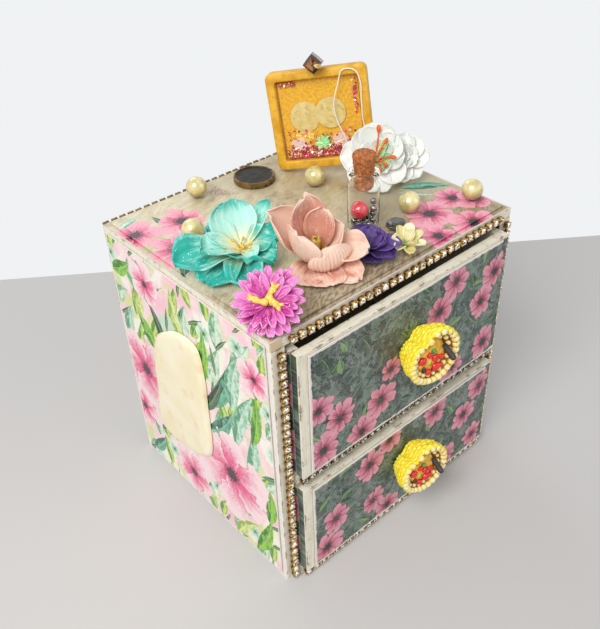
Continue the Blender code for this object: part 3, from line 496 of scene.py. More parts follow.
class Print:
    """A paper's print over u and v: its colour so far, and the two noises that all its patterns share."""

    def __init__(self, f, u, v, seed, colour):
        self.f, self.u, self.v, self.colour = f, u, v, colour
        self.wash = f.noise(f.spot(u, v, seed), 1.1, 4.0), f.noise(f.spot(u, v, seed + 4), 5.0, 2.0)

    def stamp(self, stencil, colours, u, v, *values):
        """Print one stencil over the colour so far."""
        self.colour = self.f.stamp(stencil, self.colour, *colours, *self.wash, u, v, *values)

    def scatter(self, pitch, seed, sizes, dark, light):
        """Leaves at scattered spots, with a length, a width, a lean, a spread and the share that is kept."""
        self.stamp(leaves, (dark, light), self.u, self.v, pitch, seed, *sizes)

    def brush(self, pitch, seed, amount, dark, light):
        """Dry brush dabs."""
        self.stamp(dabs, (dark, light), self.u, self.v, pitch, seed, amount)

    def sprigs(self, rows):
        """Single leaves, each with its place, length, width, lean, bend and tone."""
        for at_u, at_v, length, width, lean, bend, tone in rows:
            self.stamp(leaf, LEAF_TONES[tone], self.u - at_u, self.v - at_v, length, width,
                       math.radians(lean), bend)

    def flowers(self, rows, deep, pale, heart, heart_share, grow=1.0):
        """Flowers, each with its place, radius, number of petals and turn."""
        for at_u, at_v, radius, petals, turn in rows:
            self.stamp(bloom, (deep, pale, heart), self.u - at_u, self.v - at_v, radius * grow, petals, turn,
                       heart_share)


def torn(near, spot, depth, grain=1.3, detail=4.0):
    """The distance from an edge, torn by noise."""
    return near + (near.finish.noise(spot, grain, detail) - 0.5) * depth


def paper_rim(f, colour, u, v, low, high, width):
    """A torn white rim round a paper."""
    near = (u - low[0]).at_most(high[0] - u).at_most((v - low[1]).at_most(high[1] - v))
    near = torn(near, f.spot(u, v, 4.0), width * 1.3, 1.8)
    white = f.blend(f.noise(f.spot(u, v, 9.0), 0.7, 3.0), tint(252, 248, 242), tint(220, 210, 204))
    return f.blend(f.step(near, width, width * 0.6), colour, white)


def varnished(f, colour, grain):
    """Smooth paper under a thin varnish, with fibres of a grain in millimetres."""
    return f.set(colour, 0.42, normal=f.bump(f.noise(f.here(), grain, 3.0), 0.03, 0.3),
                 coat=(0.2, 0.25))


def garden_paper(name, axes, low, high, flowers, sprigs, seed):
    """Pale pink watercolour paper with large pink flowers among long leaves, for the sides and the back."""
    f = Finish(name)
    u, v = (getattr(f, axis) for axis in axes)
    colour = f.blend(f.wide_noise(f.spot(u, v, seed), 15.0), tint(255, 240, 234), tint(252, 196, 212))
    for shift, grain, edge, stain in ((5, 11.0, 0.50, tint(216, 230, 146)),
                                      (8, 13.0, 0.52, tint(253, 251, 238)),
                                      (12, 9.0, 0.56, tint(196, 228, 206))):
        cloud = f.step(f.noise(f.spot(u, v, seed + shift), grain, 3.0, 0.6), edge, edge + 0.1)
        colour = f.blend(cloud * 0.85, colour, stain)
    page = Print(f, u, v, seed, colour)
    page.scatter(16.0, seed, (9.5, 3.2, 2.0, 1.2, 0.8), tint(104, 172, 122), tint(224, 242, 218))
    page.scatter(13.0, seed + 1.37, (7.5, 2.1, 1.7, 1.0, 0.65), tint(74, 146, 30), tint(206, 228, 104))
    page.scatter(11.0, seed + 2.74, (6.4, 0.8, 2.1, 1.4, 0.6), tint(26, 70, 46), tint(96, 146, 80))
    ground = page.colour
    du, dv, (_, chance, _) = cells(f, u, v, 15.0, seed + 9)
    page.stamp(bloom, (tint(150, 206, 168), tint(228, 244, 230), tint(70, 96, 50)), du, dv, 4.6, 4.0, 0.3, 0.13)
    page.colour = f.blend(chance.below(0.5), ground, page.colour)
    page.sprigs(sprigs)
    page.flowers(flowers, tint(236, 84, 138), tint(255, 228, 232), tint(66, 40, 52), 0.12)
    return varnished(f, paper_rim(f, page.colour, u, v, low, high, 0.25), 0.35)


def meadow(f, u, v, flowers, seed):
    """The colour of the slate paper: dry brush dabs with pink flowers and green leaves."""
    slate = f.blend(f.wide_noise(f.spot(u, v, seed), 9.0), tint(34, 54, 56), tint(66, 86, 82))
    page = Print(f, u, v, seed, slate)
    page.brush(8.0, seed, 0.85, tint(20, 42, 44), tint(104, 130, 124))
    page.brush(5.0, seed + 3, 0.5, tint(16, 40, 36), tint(158, 178, 164))
    page.scatter(8.0, seed, (3.4, 1.5, 1.9, 2.6, 0.6), tint(16, 52, 32), tint(66, 112, 66))
    page.scatter(11.0, seed + 2.1, (3.4, 1.6, 1.2, 3.0, 0.5), tint(40, 96, 50), tint(128, 170, 104))
    page.flowers(flowers, tint(190, 56, 98), tint(248, 166, 186), tint(34, 26, 32), 0.2, 1.16)
    page.brush(6.0, seed + 8, 0.16, tint(84, 96, 92), tint(190, 176, 172))
    return page.colour


def front_paper(name, node, flowers, seed):
    """Slate paper on a drawer's front, with a pale torn rim but on its right, where the board carries it on."""
    f = Finish(name)
    low, high = span(node)
    colour = meadow(f, f.x, f.z, flowers, seed)
    colour = paper_rim(f, colour, f.x, f.z, (low[0], low[2]), (high[0] + 9, high[2]), 0.8)
    fibre = f.noise(f.spot(f.x, f.z, seed), 0.4, 3.0)
    return f.set(colour, f.noise(f.here(), 3.0) * 0.2 + 0.42, normal=f.bump(fibre, 0.04, 0.4),
                 coat=(0.1, 0.3))


def wood_print(f):
    """Faint beige wood grain, with flowers at two corners and blue-green leaves, under a painted shade towards
    the right.
    """
    along = f.x * 0.9 + f.y * 0.44
    across = f.y * 0.9 - f.x * 0.44
    sway = f.noise(f.spot(f.x, f.y, 2.0), 14.0, 2.0) * 10
    grain = f.noise(f.spot(along * 0.22, across + sway, 1.0), 1.8, 6.0, 0.6, 0.62)
    cloud = f.wide_noise(f.spot(f.x, f.y, 3.0), 18.0, 3.0, 0.4)
    worn = f.step(f.noise(f.spot(f.x, f.y, 7.0), 12.0, 3.0) + f.step(f.y, -14.0, -40.0) * 0.3, 0.55, 0.74)
    fur = f.step(f.noise(f.spot(along * 0.3, across + sway, 5.0), 0.7, 3.0), 0.42, 0.62)
    # Painted shade: the paper darkens to olive towards the right.
    shade = f.step(f.x + f.y * 0.2, -18.0, 14.0)
    moss = f.step(f.x, -16.0, -42.0) * f.step(f.y, -12.0, -28.0)
    colour = f.over(f.blend(f.step(grain, 0.34, 0.66), tint(196, 182, 142), tint(224, 214, 184)),
                    (cloud * 0.6, tint(228, 222, 202)),
                    (worn * (fur * 0.5 + 0.4), tint(140, 112, 92)),
                    (f.step(fur, 0.8, 1.0) * 0.16, tint(120, 104, 80)),
                    (shade * (cloud * 0.3 + 0.24), tint(150, 134, 92)),
                    (moss * (fur * 0.55 + 0.3), tint(118, 114, 74)))
    page = Print(f, f.x, f.y, 6.0, colour)
    page.sprigs(((41.5, -14.0, 9.0, 2.5, -38, 1.0, "teal"), (35.0, -16.0, 7.0, 1.0, -50, -1.0, "mint"),
                 (-30.0, 16.0, 6.0, 1.4, 60, 1.0, "dark"), (-44.0, 36.0, 5.0, 1.6, 20, 0.5, "mint"),
                 (-36.0, 30.0, 5.0, 1.3, 100, 0.5, "dark"), (-45.0, 2.0, 5.0, 1.6, 40, 0.8, "dark"),
                 (36.0, 16.0, 7.0, 1.3, 150, 1.0, "mint")))
    page.flowers(((-46.5, 28.0, 9.0, 5, 0.4), (-41.0, 12.0, 11.5, 6, 0.1), (-31.0, 25.0, 9.5, 6, 0.7),
                  (28.0, -27.0, 10.0, 6, 0.7), (19.5, -38.0, 8.0, 6, 0.2), (41.0, -25.5, 8.5, 6, 0.3),
                  (34.0, -40.0, 9.0, 6, 0.0), (46.0, -31.0, 8.0, 5, 0.5), (44.0, 36.0, 8.0, 6, 0.4)),
                 tint(206, 74, 118), tint(246, 172, 190), tint(50, 38, 48), 0.2)
    return page.colour


# ---- painted boards ----

def edge_distance(f, low, high):
    """How far a point on a box is from its nearest edge: the middle one of three face distances."""
    x, y, z = ((value - a).at_most(b - value) for value, a, b in zip((f.x, f.y, f.z), low, high))
    return x + y + z - x.at_most(y).at_most(z) - x.at_least(y).at_least(z)


def brushed_cream(f, low, high, column):
    """Chalky cream paint in strokes along the board, rubbed through to brown in places along the edges.

    Beyond the reach of a column, at the ends of a board, the strokes run upright.
    """
    sizes = np.array(high) - np.array(low)
    squeeze = np.where(sizes == sizes.max(), 0.10, 1.0)
    end = f.step(f.x.size(), column - 0.1, column)
    streaky = f.spot(f.x * (end * 0.9 + squeeze[0]), f.y * squeeze[1], f.z * (squeeze[2] - end * 0.9))
    stroke = f.noise(streaky, 0.6, 4.0, 0.0, 0.6)
    near = edge_distance(f, low, high)
    patch = f.noise(f.here(), 3.6, 4.0, 0.4, 0.6)
    rub = f.step(near - (patch - 0.53) * 2.4, 0.12, 0.02)
    bare = f.blend(f.wide_noise(f.here(), 0.9), tint(96, 82, 72), tint(166, 146, 122))
    smudge = f.step(patch, 0.54, 0.68) * f.step(near, 2.4, 0.4)
    hair = (f.noise(streaky, 0.9, 3.0, 0.8) - 0.5).size()
    scratch = f.step(hair, 0.012, 0.003) * f.step(patch, 0.50, 0.60)
    colour = f.over(f.blend(f.step(stroke, 0.3, 0.6), tint(232, 224, 200), tint(245, 240, 224)),
                    (rub * 0.85, bare), (smudge * 0.4, tint(176, 160, 134)), (scratch * 0.75, tint(92, 80, 74)))
    return colour, stroke


# How far from the middle the upright strokes begin: nowhere, or near the ends of a drawer's front.
NO_COLUMN, FRONT_COLUMN = 1000, 41.3


def painted_board(node, column=NO_COLUMN, inside=None, paper=None):
    """The finish of one board: cream paint, made nearly black on the faces inside the case, or paper on an outer
    face.
    """
    f = Finish("cream_paint_" + node)
    low, high = span(node)
    colour, stroke = brushed_cream(f, low, high, column)
    if inside:
        # The faces inside the case are made nearly black.
        dark = f.blend(f.wide_noise(f.here(), 2.0), tint(16, 15, 15), tint(34, 31, 29))
        colour = f.blend(inside(f), colour, dark)
    if paper:
        colour = paper(f, colour, low, high)
    return f.set(colour, stroke * 0.25 + 0.42, normal=f.bump(stroke, 0.03, 0.4))


def case_inside(f):
    """One inside the case, nought on its outer faces and its front edges."""
    side, roof, rear = CASE_WIDTH / 2 - SIDE_WALL, CASE_HEIGHT - BOARD, CASE_DEPTH / 2 - BOARD
    deep = f.step(f.y, 0.4 - CASE_DEPTH / 2, 0.6 - CASE_DEPTH / 2)
    wide = f.step(f.x.size(), side + 0.12, side + 0.05)
    low = f.step(f.z, BOARD - 0.1, BOARD - 0.02)
    high = f.step(f.z, roof + 0.1, roof + 0.02)
    return deep * wide * low * high * f.step(f.y, rear + 0.2, rear + 0.05)


DRAWER_SIDE = CASE_WIDTH / 2 - SIDE_WALL - DRAWER_GAP
FRONT_MARGIN = 40.0    # how far to the right of the middle a drawer front's own paper goes on over the board


def drawer_side(flowers, seed):
    """Slate paper on a drawer side's outer face, with cream paint left at its top and bottom edges."""
    def paper(f, colour, low, high):
        outer = f.step(f.x.size(), DRAWER_SIDE - 0.15, DRAWER_SIDE - 0.05)
        near = torn((f.z - low[2]).at_most(high[2] - f.z), f.here(), 0.8, 1.6, 3.0)
        return f.blend(outer * f.step(near, 0.4, 0.9), colour, meadow(f, f.y, f.z, flowers, seed))
    return paper


def front_board_paper(flowers, seed):
    """The same paper carried on over the right margin of a drawer's front, and wrapped on its ends."""
    def paper(f, colour, low, high):
        face = low[1]
        outer = f.step(f.x.size(), DRAWER_SIDE - 0.08, DRAWER_SIDE - 0.02) * f.step(f.y, face + 0.5, face + 0.8)
        rim = torn((f.z - low[2]).at_most(high[2] - f.z), f.here(), 0.8, 1.8)
        margin = (f.step(f.x, FRONT_MARGIN, FRONT_MARGIN + 0.2) * f.step(f.y, face + 0.2, face + 0.1)
                  * f.step(rim, 0.9, 1.3))
        end = f.step(f.x, DRAWER_SIDE - 0.15, DRAWER_SIDE - 0.05)
        across = f.x * (1 - end) + (f.y - face + high[0]) * end
        return f.blend(outer.at_least(margin), colour, meadow(f, across, f.z, flowers, seed))
    return paper


def cover(node, finish):
    """Give a frame node its finish."""
    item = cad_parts[node]
    item.data.materials.clear()
    item.data.materials.append(finish.material)


def white_margin(f, colour, low, high):
    """The pasted paper's plain white edge on the case's outer sides and back."""
    side, rear = CASE_WIDTH / 2, CASE_DEPTH / 2
    outer = f.step(f.x.size(), side - 0.1, side - 0.02).at_least(f.step(f.y, rear - 0.1, rear - 0.02))
    near = torn(edge_distance(f, low, high), f.here(), 0.7)
    paper = f.blend(f.noise(f.here(), 0.8), tint(252, 248, 242), tint(226, 216, 208))
    return f.blend(outer * f.step(near, 0.15, 0.4), colour, paper)


def wood_margin(f, colour, low, high):
    """The wood paper's print carried on to the top board's edge, where a thin white line is left."""
    near = torn(edge_distance(f, low, high), f.here(), 0.5)
    top = f.step(f.z, CASE_HEIGHT - 0.1, CASE_HEIGHT - 0.02)
    bare = f.step(f.x, -45.6, -46.4) * f.step(f.y, -41.0, -41.9)
    printed = top * f.step(near, 0.5, 0.8).at_least(f.step(f.y, 39.0, 40.0))
    return f.over(colour, (bare * 0.75, tint(208, 178, 136)), (top, tint(216, 202, 190)),
                  (printed, wood_print(f)))


for node, paper in (("top_board", wood_margin), ("left_side_board", white_margin),
                    ("right_side_board", white_margin), ("back_board", white_margin), ("bottom_board", None),
                    ("shelf_board", None)):
    cover(node, painted_board(node, inside=case_inside, paper=paper))

# Below, a flower is its place, radius, number of petals and turn, and a sprig is its place, length, width,
# lean, bend and tone.
cover("left_side_paper", garden_paper("garden_left", "yz", (-40, 2), (40, 98), (
    (-17.0, 31.0, 23.0, 6, 0.4), (30.0, 47.0, 20.0, 5, 0.1), (8.0, 12.0, 14.0, 5, 0.2),
    (-34.0, 83.0, 9.0, 5, 0.8), (37.0, 25.0, 12.0, 5, 0.5), (20.0, 88.0, 10.0, 5, 0.6)), (
    (-18.0, 70.0, 17.0, 3.2, 118, 2.5, "teal"), (-26.0, 62.0, 16.0, 3.0, 112, -2.0, "mint"),
    (-8.0, 74.0, 15.0, 2.6, 104, 2.0, "green"), (-12.0, 62.0, 13.0, 2.2, 122, 1.5, "dark"),
    (-30.0, 50.0, 12.0, 3.0, 100, 2.0, "mint"), (4.0, 84.0, 11.0, 2.6, 80, -1.5, "lime"),
    (34.0, 88.0, 7.5, 3.0, 150, 1.0, "green"), (16.0, 74.0, 10.0, 2.2, 70, 2.0, "dark"),
    (35.0, 66.0, 9.0, 3.0, 110, -1.0, "mint"), (24.0, 68.0, 7.5, 3.2, 60, 1.0, "green"),
    (24.0, 26.0, 10.0, 2.8, 140, 1.5, "dark"), (16.0, 30.0, 9.0, 2.6, 100, -1.0, "mint"),
    (-33.0, 14.0, 13.0, 2.8, 112, 1.5, "green"), (-22.0, 9.0, 11.0, 2.4, 130, -1.5, "lime"),
    (-37.0, 32.0, 9.0, 2.6, 95, 1.0, "green"), (30.0, 10.0, 9.0, 2.6, 130, 1.0, "teal"),
    (-4.0, 50.0, 8.0, 2.4, 80, 1.0, "green"), (-24.0, 76.0, 14.0, 3.4, 106, -2.0, "mint"),
    (-15.0, 52.0, 12.0, 3.0, 130, 2.0, "teal"), (-33.0, 66.0, 12.0, 2.4, 98, 1.5, "green"),
    (12.0, 62.0, 9.0, 2.6, 112, -1.5, "teal"), (26.0, 80.0, 8.0, 2.2, 84, 1.0, "lime")), 1.0))
cover("right_side_paper", garden_paper("garden_right", "yz", (-40, 2), (40, 98), (
    (18.0, 64.0, 23.0, 6, 0.9), (-22.0, 36.0, 20.0, 5, 0.2), (14.0, 16.0, 14.0, 5, 0.2),
    (-28.0, 86.0, 8.0, 5, 0.3)), (
    (-8.0, 66.0, 16.0, 3.2, 70, 2.0, "teal"), (-18.0, 64.0, 14.0, 3.0, 60, -2.0, "mint"),
    (32.0, 34.0, 14.0, 2.8, 100, 2.0, "green"), (4.0, 42.0, 12.0, 2.4, 82, 1.5, "dark"),
    (-12.0, 84.0, 11.0, 2.6, 120, -1.5, "lime"), (34.0, 86.0, 9.0, 3.0, 40, 1.0, "green"),
    (-32.0, 14.0, 12.0, 2.6, 70, 1.5, "mint"), (-4.0, 14.0, 10.0, 2.4, 50, -1.0, "lime")), 11.0))
cover("back_paper", garden_paper("garden_back", "xz", (-44.2, 2), (44.2, 95.4), (
    (-22.0, 62.0, 23.0, 6, 0.3), (20.0, 34.0, 22.0, 5, 0.1), (28.0, 78.0, 14.0, 5, 0.6),
    (-30.0, 20.0, 11.0, 6, 1.3)), (
    (4.0, 66.0, 15.0, 3.0, 64, 2.0, "teal"), (10.0, 58.0, 13.0, 2.6, 80, -2.0, "mint"),
    (-8.0, 34.0, 14.0, 2.8, 104, 2.0, "green"), (-14.0, 24.0, 12.0, 2.2, 122, 1.5, "dark"),
    (38.0, 58.0, 10.0, 2.6, 96, 1.5, "lime"), (-38.0, 42.0, 11.0, 2.8, 88, -1.5, "mint"),
    (0.0, 86.0, 10.0, 2.4, 20, 1.0, "green"), (2.0, 12.0, 10.0, 2.6, 150, 1.0, "teal")), 23.0))
f = Finish("wood_grain_print")
cover("top_paper", varnished(f, wood_print(f), 0.5))

UPPER_BLOOMS = ((-37.0, 55.0, 7.0, 8, 0.2), (-30.0, 64.0, 6.4, 8, 0.9), (-38.5, 72.0, 5.6, 8, 0.5),
                (-13.0, 60.0, 6.6, 8, 0.4), (-21.0, 52.0, 6.4, 8, 0.1), (-9.0, 70.0, 4.6, 7, 0.8),
                (12.0, 80.5, 6.4, 8, 0.6), (19.0, 88.5, 6.0, 8, 0.1), (33.0, 74.0, 6.0, 8, 0.2),
                (38.5, 83.0, 6.4, 8, 0.7), (21.0, 53.0, 5.6, 8, 0.3), (37.0, 55.0, 6.4, 8, 0.9))
LOWER_BLOOMS = ((-36.0, 9.0, 6.6, 8, 0.5), (-32.0, 20.0, 6.0, 8, 0.0), (-17.0, 34.0, 6.6, 8, 0.1),
                (-8.0, 39.0, 5.6, 8, 0.8), (-15.0, 15.0, 5.4, 8, 0.6), (-8.0, 7.0, 6.2, 8, 0.3),
                (14.5, 37.0, 6.2, 8, 0.2), (31.0, 24.5, 6.2, 8, 0.4), (38.5, 34.0, 6.2, 8, 0.7),
                (22.0, 8.5, 6.4, 8, 0.9), (38.0, 10.0, 5.8, 8, 0.2))
SIDE_BLOOMS = ((-40.0, 60.0, 6.4, 8, 0.4), (-39.0, 79.0, 6.0, 8, 0.0), (-22.0, 70.0, 6.4, 8, 0.2),
               (-38.0, 14.0, 6.4, 8, 0.7), (-40.0, 32.0, 6.0, 8, 0.3), (-12.0, 24.0, 6.2, 8, 0.9))
for drawer, flowers, seed in (("upper", UPPER_BLOOMS, 3.0), ("lower", LOWER_BLOOMS, 17.0)):
    cover(drawer + "_drawer_paper", front_paper(drawer + "_meadow", drawer + "_drawer_paper", flowers, seed))
    cover(drawer + "_drawer_front", painted_board(drawer + "_drawer_front", FRONT_COLUMN,
                                                  paper=front_board_paper(flowers, seed)))
    for side in ("left", "right"):
        node = f"{drawer}_drawer_{side}"
        cover(node, painted_board(node, paper=drawer_side(SIDE_BLOOMS, seed + 5)))
    for plain in ("back", "bottom"):
        node = f"{drawer}_drawer_{plain}"
        cover(node, painted_board(node))


# ---- plaque on the left side ----

# Its outline over the side, in shares of the case's depth and height.
PLAQUE_OUTLINE = ((0.208, 0.686), (0.120, 0.752), (0.025, 0.790), (-0.080, 0.783), (-0.106, 0.682),
                  (-0.101, 0.541), (-0.092, 0.368), (-0.051, 0.299), (0.063, 0.253), (0.223, 0.238),
                  (0.288, 0.279), (0.261, 0.444), (0.249, 0.555))
PLAQUE_THICKNESS = 1.6


def resin_plaque():
    """A hand-cut slab: rings shrink from the outline inwards while the face swells as a soft dome."""
    seat = span("side_plaque")[1][0]
    outline = smooth_loop(np.array(PLAQUE_OUTLINE) * [CASE_DEPTH, CASE_HEIGHT], 10)
    middle = outline.mean(0)
    t = np.array([0, 0.02, 0.05, 0.1, 0.2, 0.35, 0.5, 0.65, 0.8, 0.92])[:, None]
    inward = 0.97 * t
    rise = np.sqrt(np.clip(t * 14, 0, 1)) * 0.82 + 0.18 * np.sin(t * np.pi / 2)
    y, z = np.moveaxis(middle + (outline - middle) * (1 - inward[:, :, None]), -1, 0)
    wave = 0.10 * np.sin(y * 0.45 + 1) * np.sin(z * 0.28) * inward
    face = np.stack([seat - PLAQUE_THICKNESS * np.minimum(1, rise) - wave, y, z], -1)
    back = face[:1] * [0, 1, 1] + [seat, 0, 0]
    f = Finish("cream_resin")
    cloud = f.wide_noise(f.here(), 11.0, 3.0, 0.5)
    stain = f.step(f.noise(f.here(), 6.0, 2.0), 0.56, 0.72)
    colour = f.over(f.blend(cloud, tint(250, 238, 198), tint(255, 248, 220)),
                    (stain * 0.45, tint(244, 205, 150)))
    f.set(colour, f.noise(f.here(), 2.0) * 0.25 + 0.28, normal=f.bump(f.noise(f.here(), 5.0), 0.25, 0.5),
          coat=(0.3, 0.2))
    piece("cream_plaque", [closed_rings(np.concatenate([back, face]))], f, slot="cream_resin",
          replaces=["side_plaque"], smooth=60)


resin_plaque()


# ---- cup chain ----

CUP_PITCH, CUP_SINK, LINK_RISE = 3.1, 0.3, 0.75
CHAIN_SLACK = 0.62    # how much a run may be short of room for its last cup


def chain_cup():
    """A square claw cup: a profile of reach and height round a squared circle, claws at its corners."""
    turn = turns(16)[None, :]
    square = (np.abs(np.cos(turn)) ** 4 + np.abs(np.sin(turn)) ** 4) ** -0.25
    claw = np.clip(-np.cos(4 * turn), 0, 1) ** 3
    reach = np.array([0.70, 0.98, 1.14, 1.24, 1.16, 0.98, 0.80])[:, None] * square
    reach[4:6] *= 1 - 0.16 * claw
    height = np.array([0.32, 0.42, 1.05, 1.52, 1.66, 1.50, 1.15])[:, None] + 0 * turn
    height[3:6] += 0.42 * claw
    # Each point keeps its height, from which the finish paints the low parts in shade and the claws light.
    return marked(closed_rings(polar(reach, turn, height)), np.append(height, [0.3, 1.1]) / 2.1)


def cup_chain(trim, along, across, out, finishes):
    """Cups, links and stones along one trim's middle line, each a little turned and tipped."""
    low, high = span(trim)
    along, across, out = (np.array(axis, float) for axis in (along, across, out))
    count = int(((high - low) @ np.abs(along) + CHAIN_SLACK) / CUP_PITCH)
    seat = (low + high) / 2 + out * (-abs((high - low) @ out) / 2 - CUP_SINK)
    # The links keep a low value, so that their finish paints them in shade.
    cup, bar = chain_cup(), marked(ball((0, 0, 0), 1, 3, 6, (0.62, 0.36, 0.28)), 0.15)
    stone = facets(8, ((0.60, 1.20, 0), (1.08, 1.66, 0.5), (0.88, 1.96, 1), (0.50, 2.2, 0.5)))
    cups, stones = [], []
    for number in range(count):
        place = seat + along * ((number - (count - 1) / 2) * CUP_PITCH)
        tip = draws.normal(0, 0.05, 3)
        face = unit(out + along * tip[0] + across * tip[1])
        right = unit(along + across * tip[2] - face * ((along + across * tip[2]) @ face))
        axes = (right, np.cross(face, right), face)
        cups.append(placed(cup, place, *axes))
        stones.append(placed(stone, place, *axes))
        if number:
            cups.append(placed(bar, place - along * CUP_PITCH / 2 + out * LINK_RISE, along, across, out))
    brass, glass = finishes
    piece(trim.replace("trim", "cups"), cups, brass, slot="brass_cups", replaces=[trim], smooth=35)
    made = piece(trim.replace("trim", "stones"), stones, glass, slot="brass_cups", smooth=None)
    draws.random(len(made.data.polygons))    # one draw for each facet is passed over before the glints
    give_glint(made)


def brass_finish(name, high, low):
    """Plated cups with painted light: a painted highlight on their claws and a painted shade of dark bronze down
    in the gaps, with some random stain.
    """
    f = Finish(name)
    depth, _, _ = f.place()
    stain = f.noise(f.here(), 1.4, 3.0)
    # Painted light: the lower a point lies on its cup the darker it is painted, and high on the claws bright.
    tone = f.step(depth + (stain - 0.5) * 0.5, 0.2, 0.85)
    colour = f.blend(tone, low, high)
    return f.set(colour, f.noise(f.here(), 0.6) * 0.3 + 0.12, 1.0)


def stone_finish(name, bright, dark, share):
    """Foiled stones with painted reflections: most facets are painted a flashing white and a share of them dark.
    """
    f = Finish(name)
    glint = f.glint()
    # Painted reflections: each facet is painted white or dark by its random glint.
    colour = f.blend(f.step(glint, share, share + 0.12), dark, bright)
    return f.set(colour, 0.07, f.step(glint, share + 0.3, share - 0.1) * 0.5 + 0.25, coat=(1.0, 0.02))


bright_chain = (brass_finish("gold_cups", tint(214, 172, 96), tint(92, 62, 26)),
                stone_finish("clear_stones", tint(252, 250, 244), tint(120, 96, 66), 0.28))
dull_chain = (brass_finish("bronze_cups", tint(164, 144, 110), tint(84, 72, 56)),
              stone_finish("smoky_stones", tint(226, 222, 210), tint(66, 56, 46), 0.5))
X, Z, FRONT, BACK = (1, 0, 0), (0, 0, 1), (0, -1, 0), (0, 1, 0)
for trim, along, across, out, finishes in (
        ("trim_front_top", X, Z, FRONT, bright_chain), ("trim_front_left", Z, X, FRONT, bright_chain),
        ("trim_front_right", Z, X, FRONT, bright_chain), ("trim_shelf", X, Z, FRONT, dull_chain),
        ("trim_bottom", X, Z, FRONT, bright_chain), ("trim_back_top", X, Z, BACK, dull_chain),
        ("trim_back_left", Z, X, BACK, dull_chain), ("trim_back_right", Z, X, BACK, dull_chain)):
    cup_chain(trim, along, across, out, finishes)


# ---- knobs ----

KNOB_RADIUS, KNOB_DEPTH, KNOB_WALL, KNOB_RECESS = 9.3, 10.5, 1.4, 5.0
CREST, NOTCH = 66, 112
ROPES = 7


def away_from(mark, turn):
    """How far an angle lies from a mark, from -180 to 180 degrees."""
    return (np.degrees(turn) - mark + 180) % 360 - 180


def knob_outline(turn):
    """The edge's share of the radius at an angle: a lobe and a crest to the upper right, a notch on top."""
    return (1 + 0.09 * np.cos(np.radians(np.degrees(turn) - 50))
            + 0.13 * np.exp(-(away_from(CREST, turn) / 30) ** 2)
            - 0.26 * np.exp(-(away_from(NOTCH, turn) / 15) ** 2))


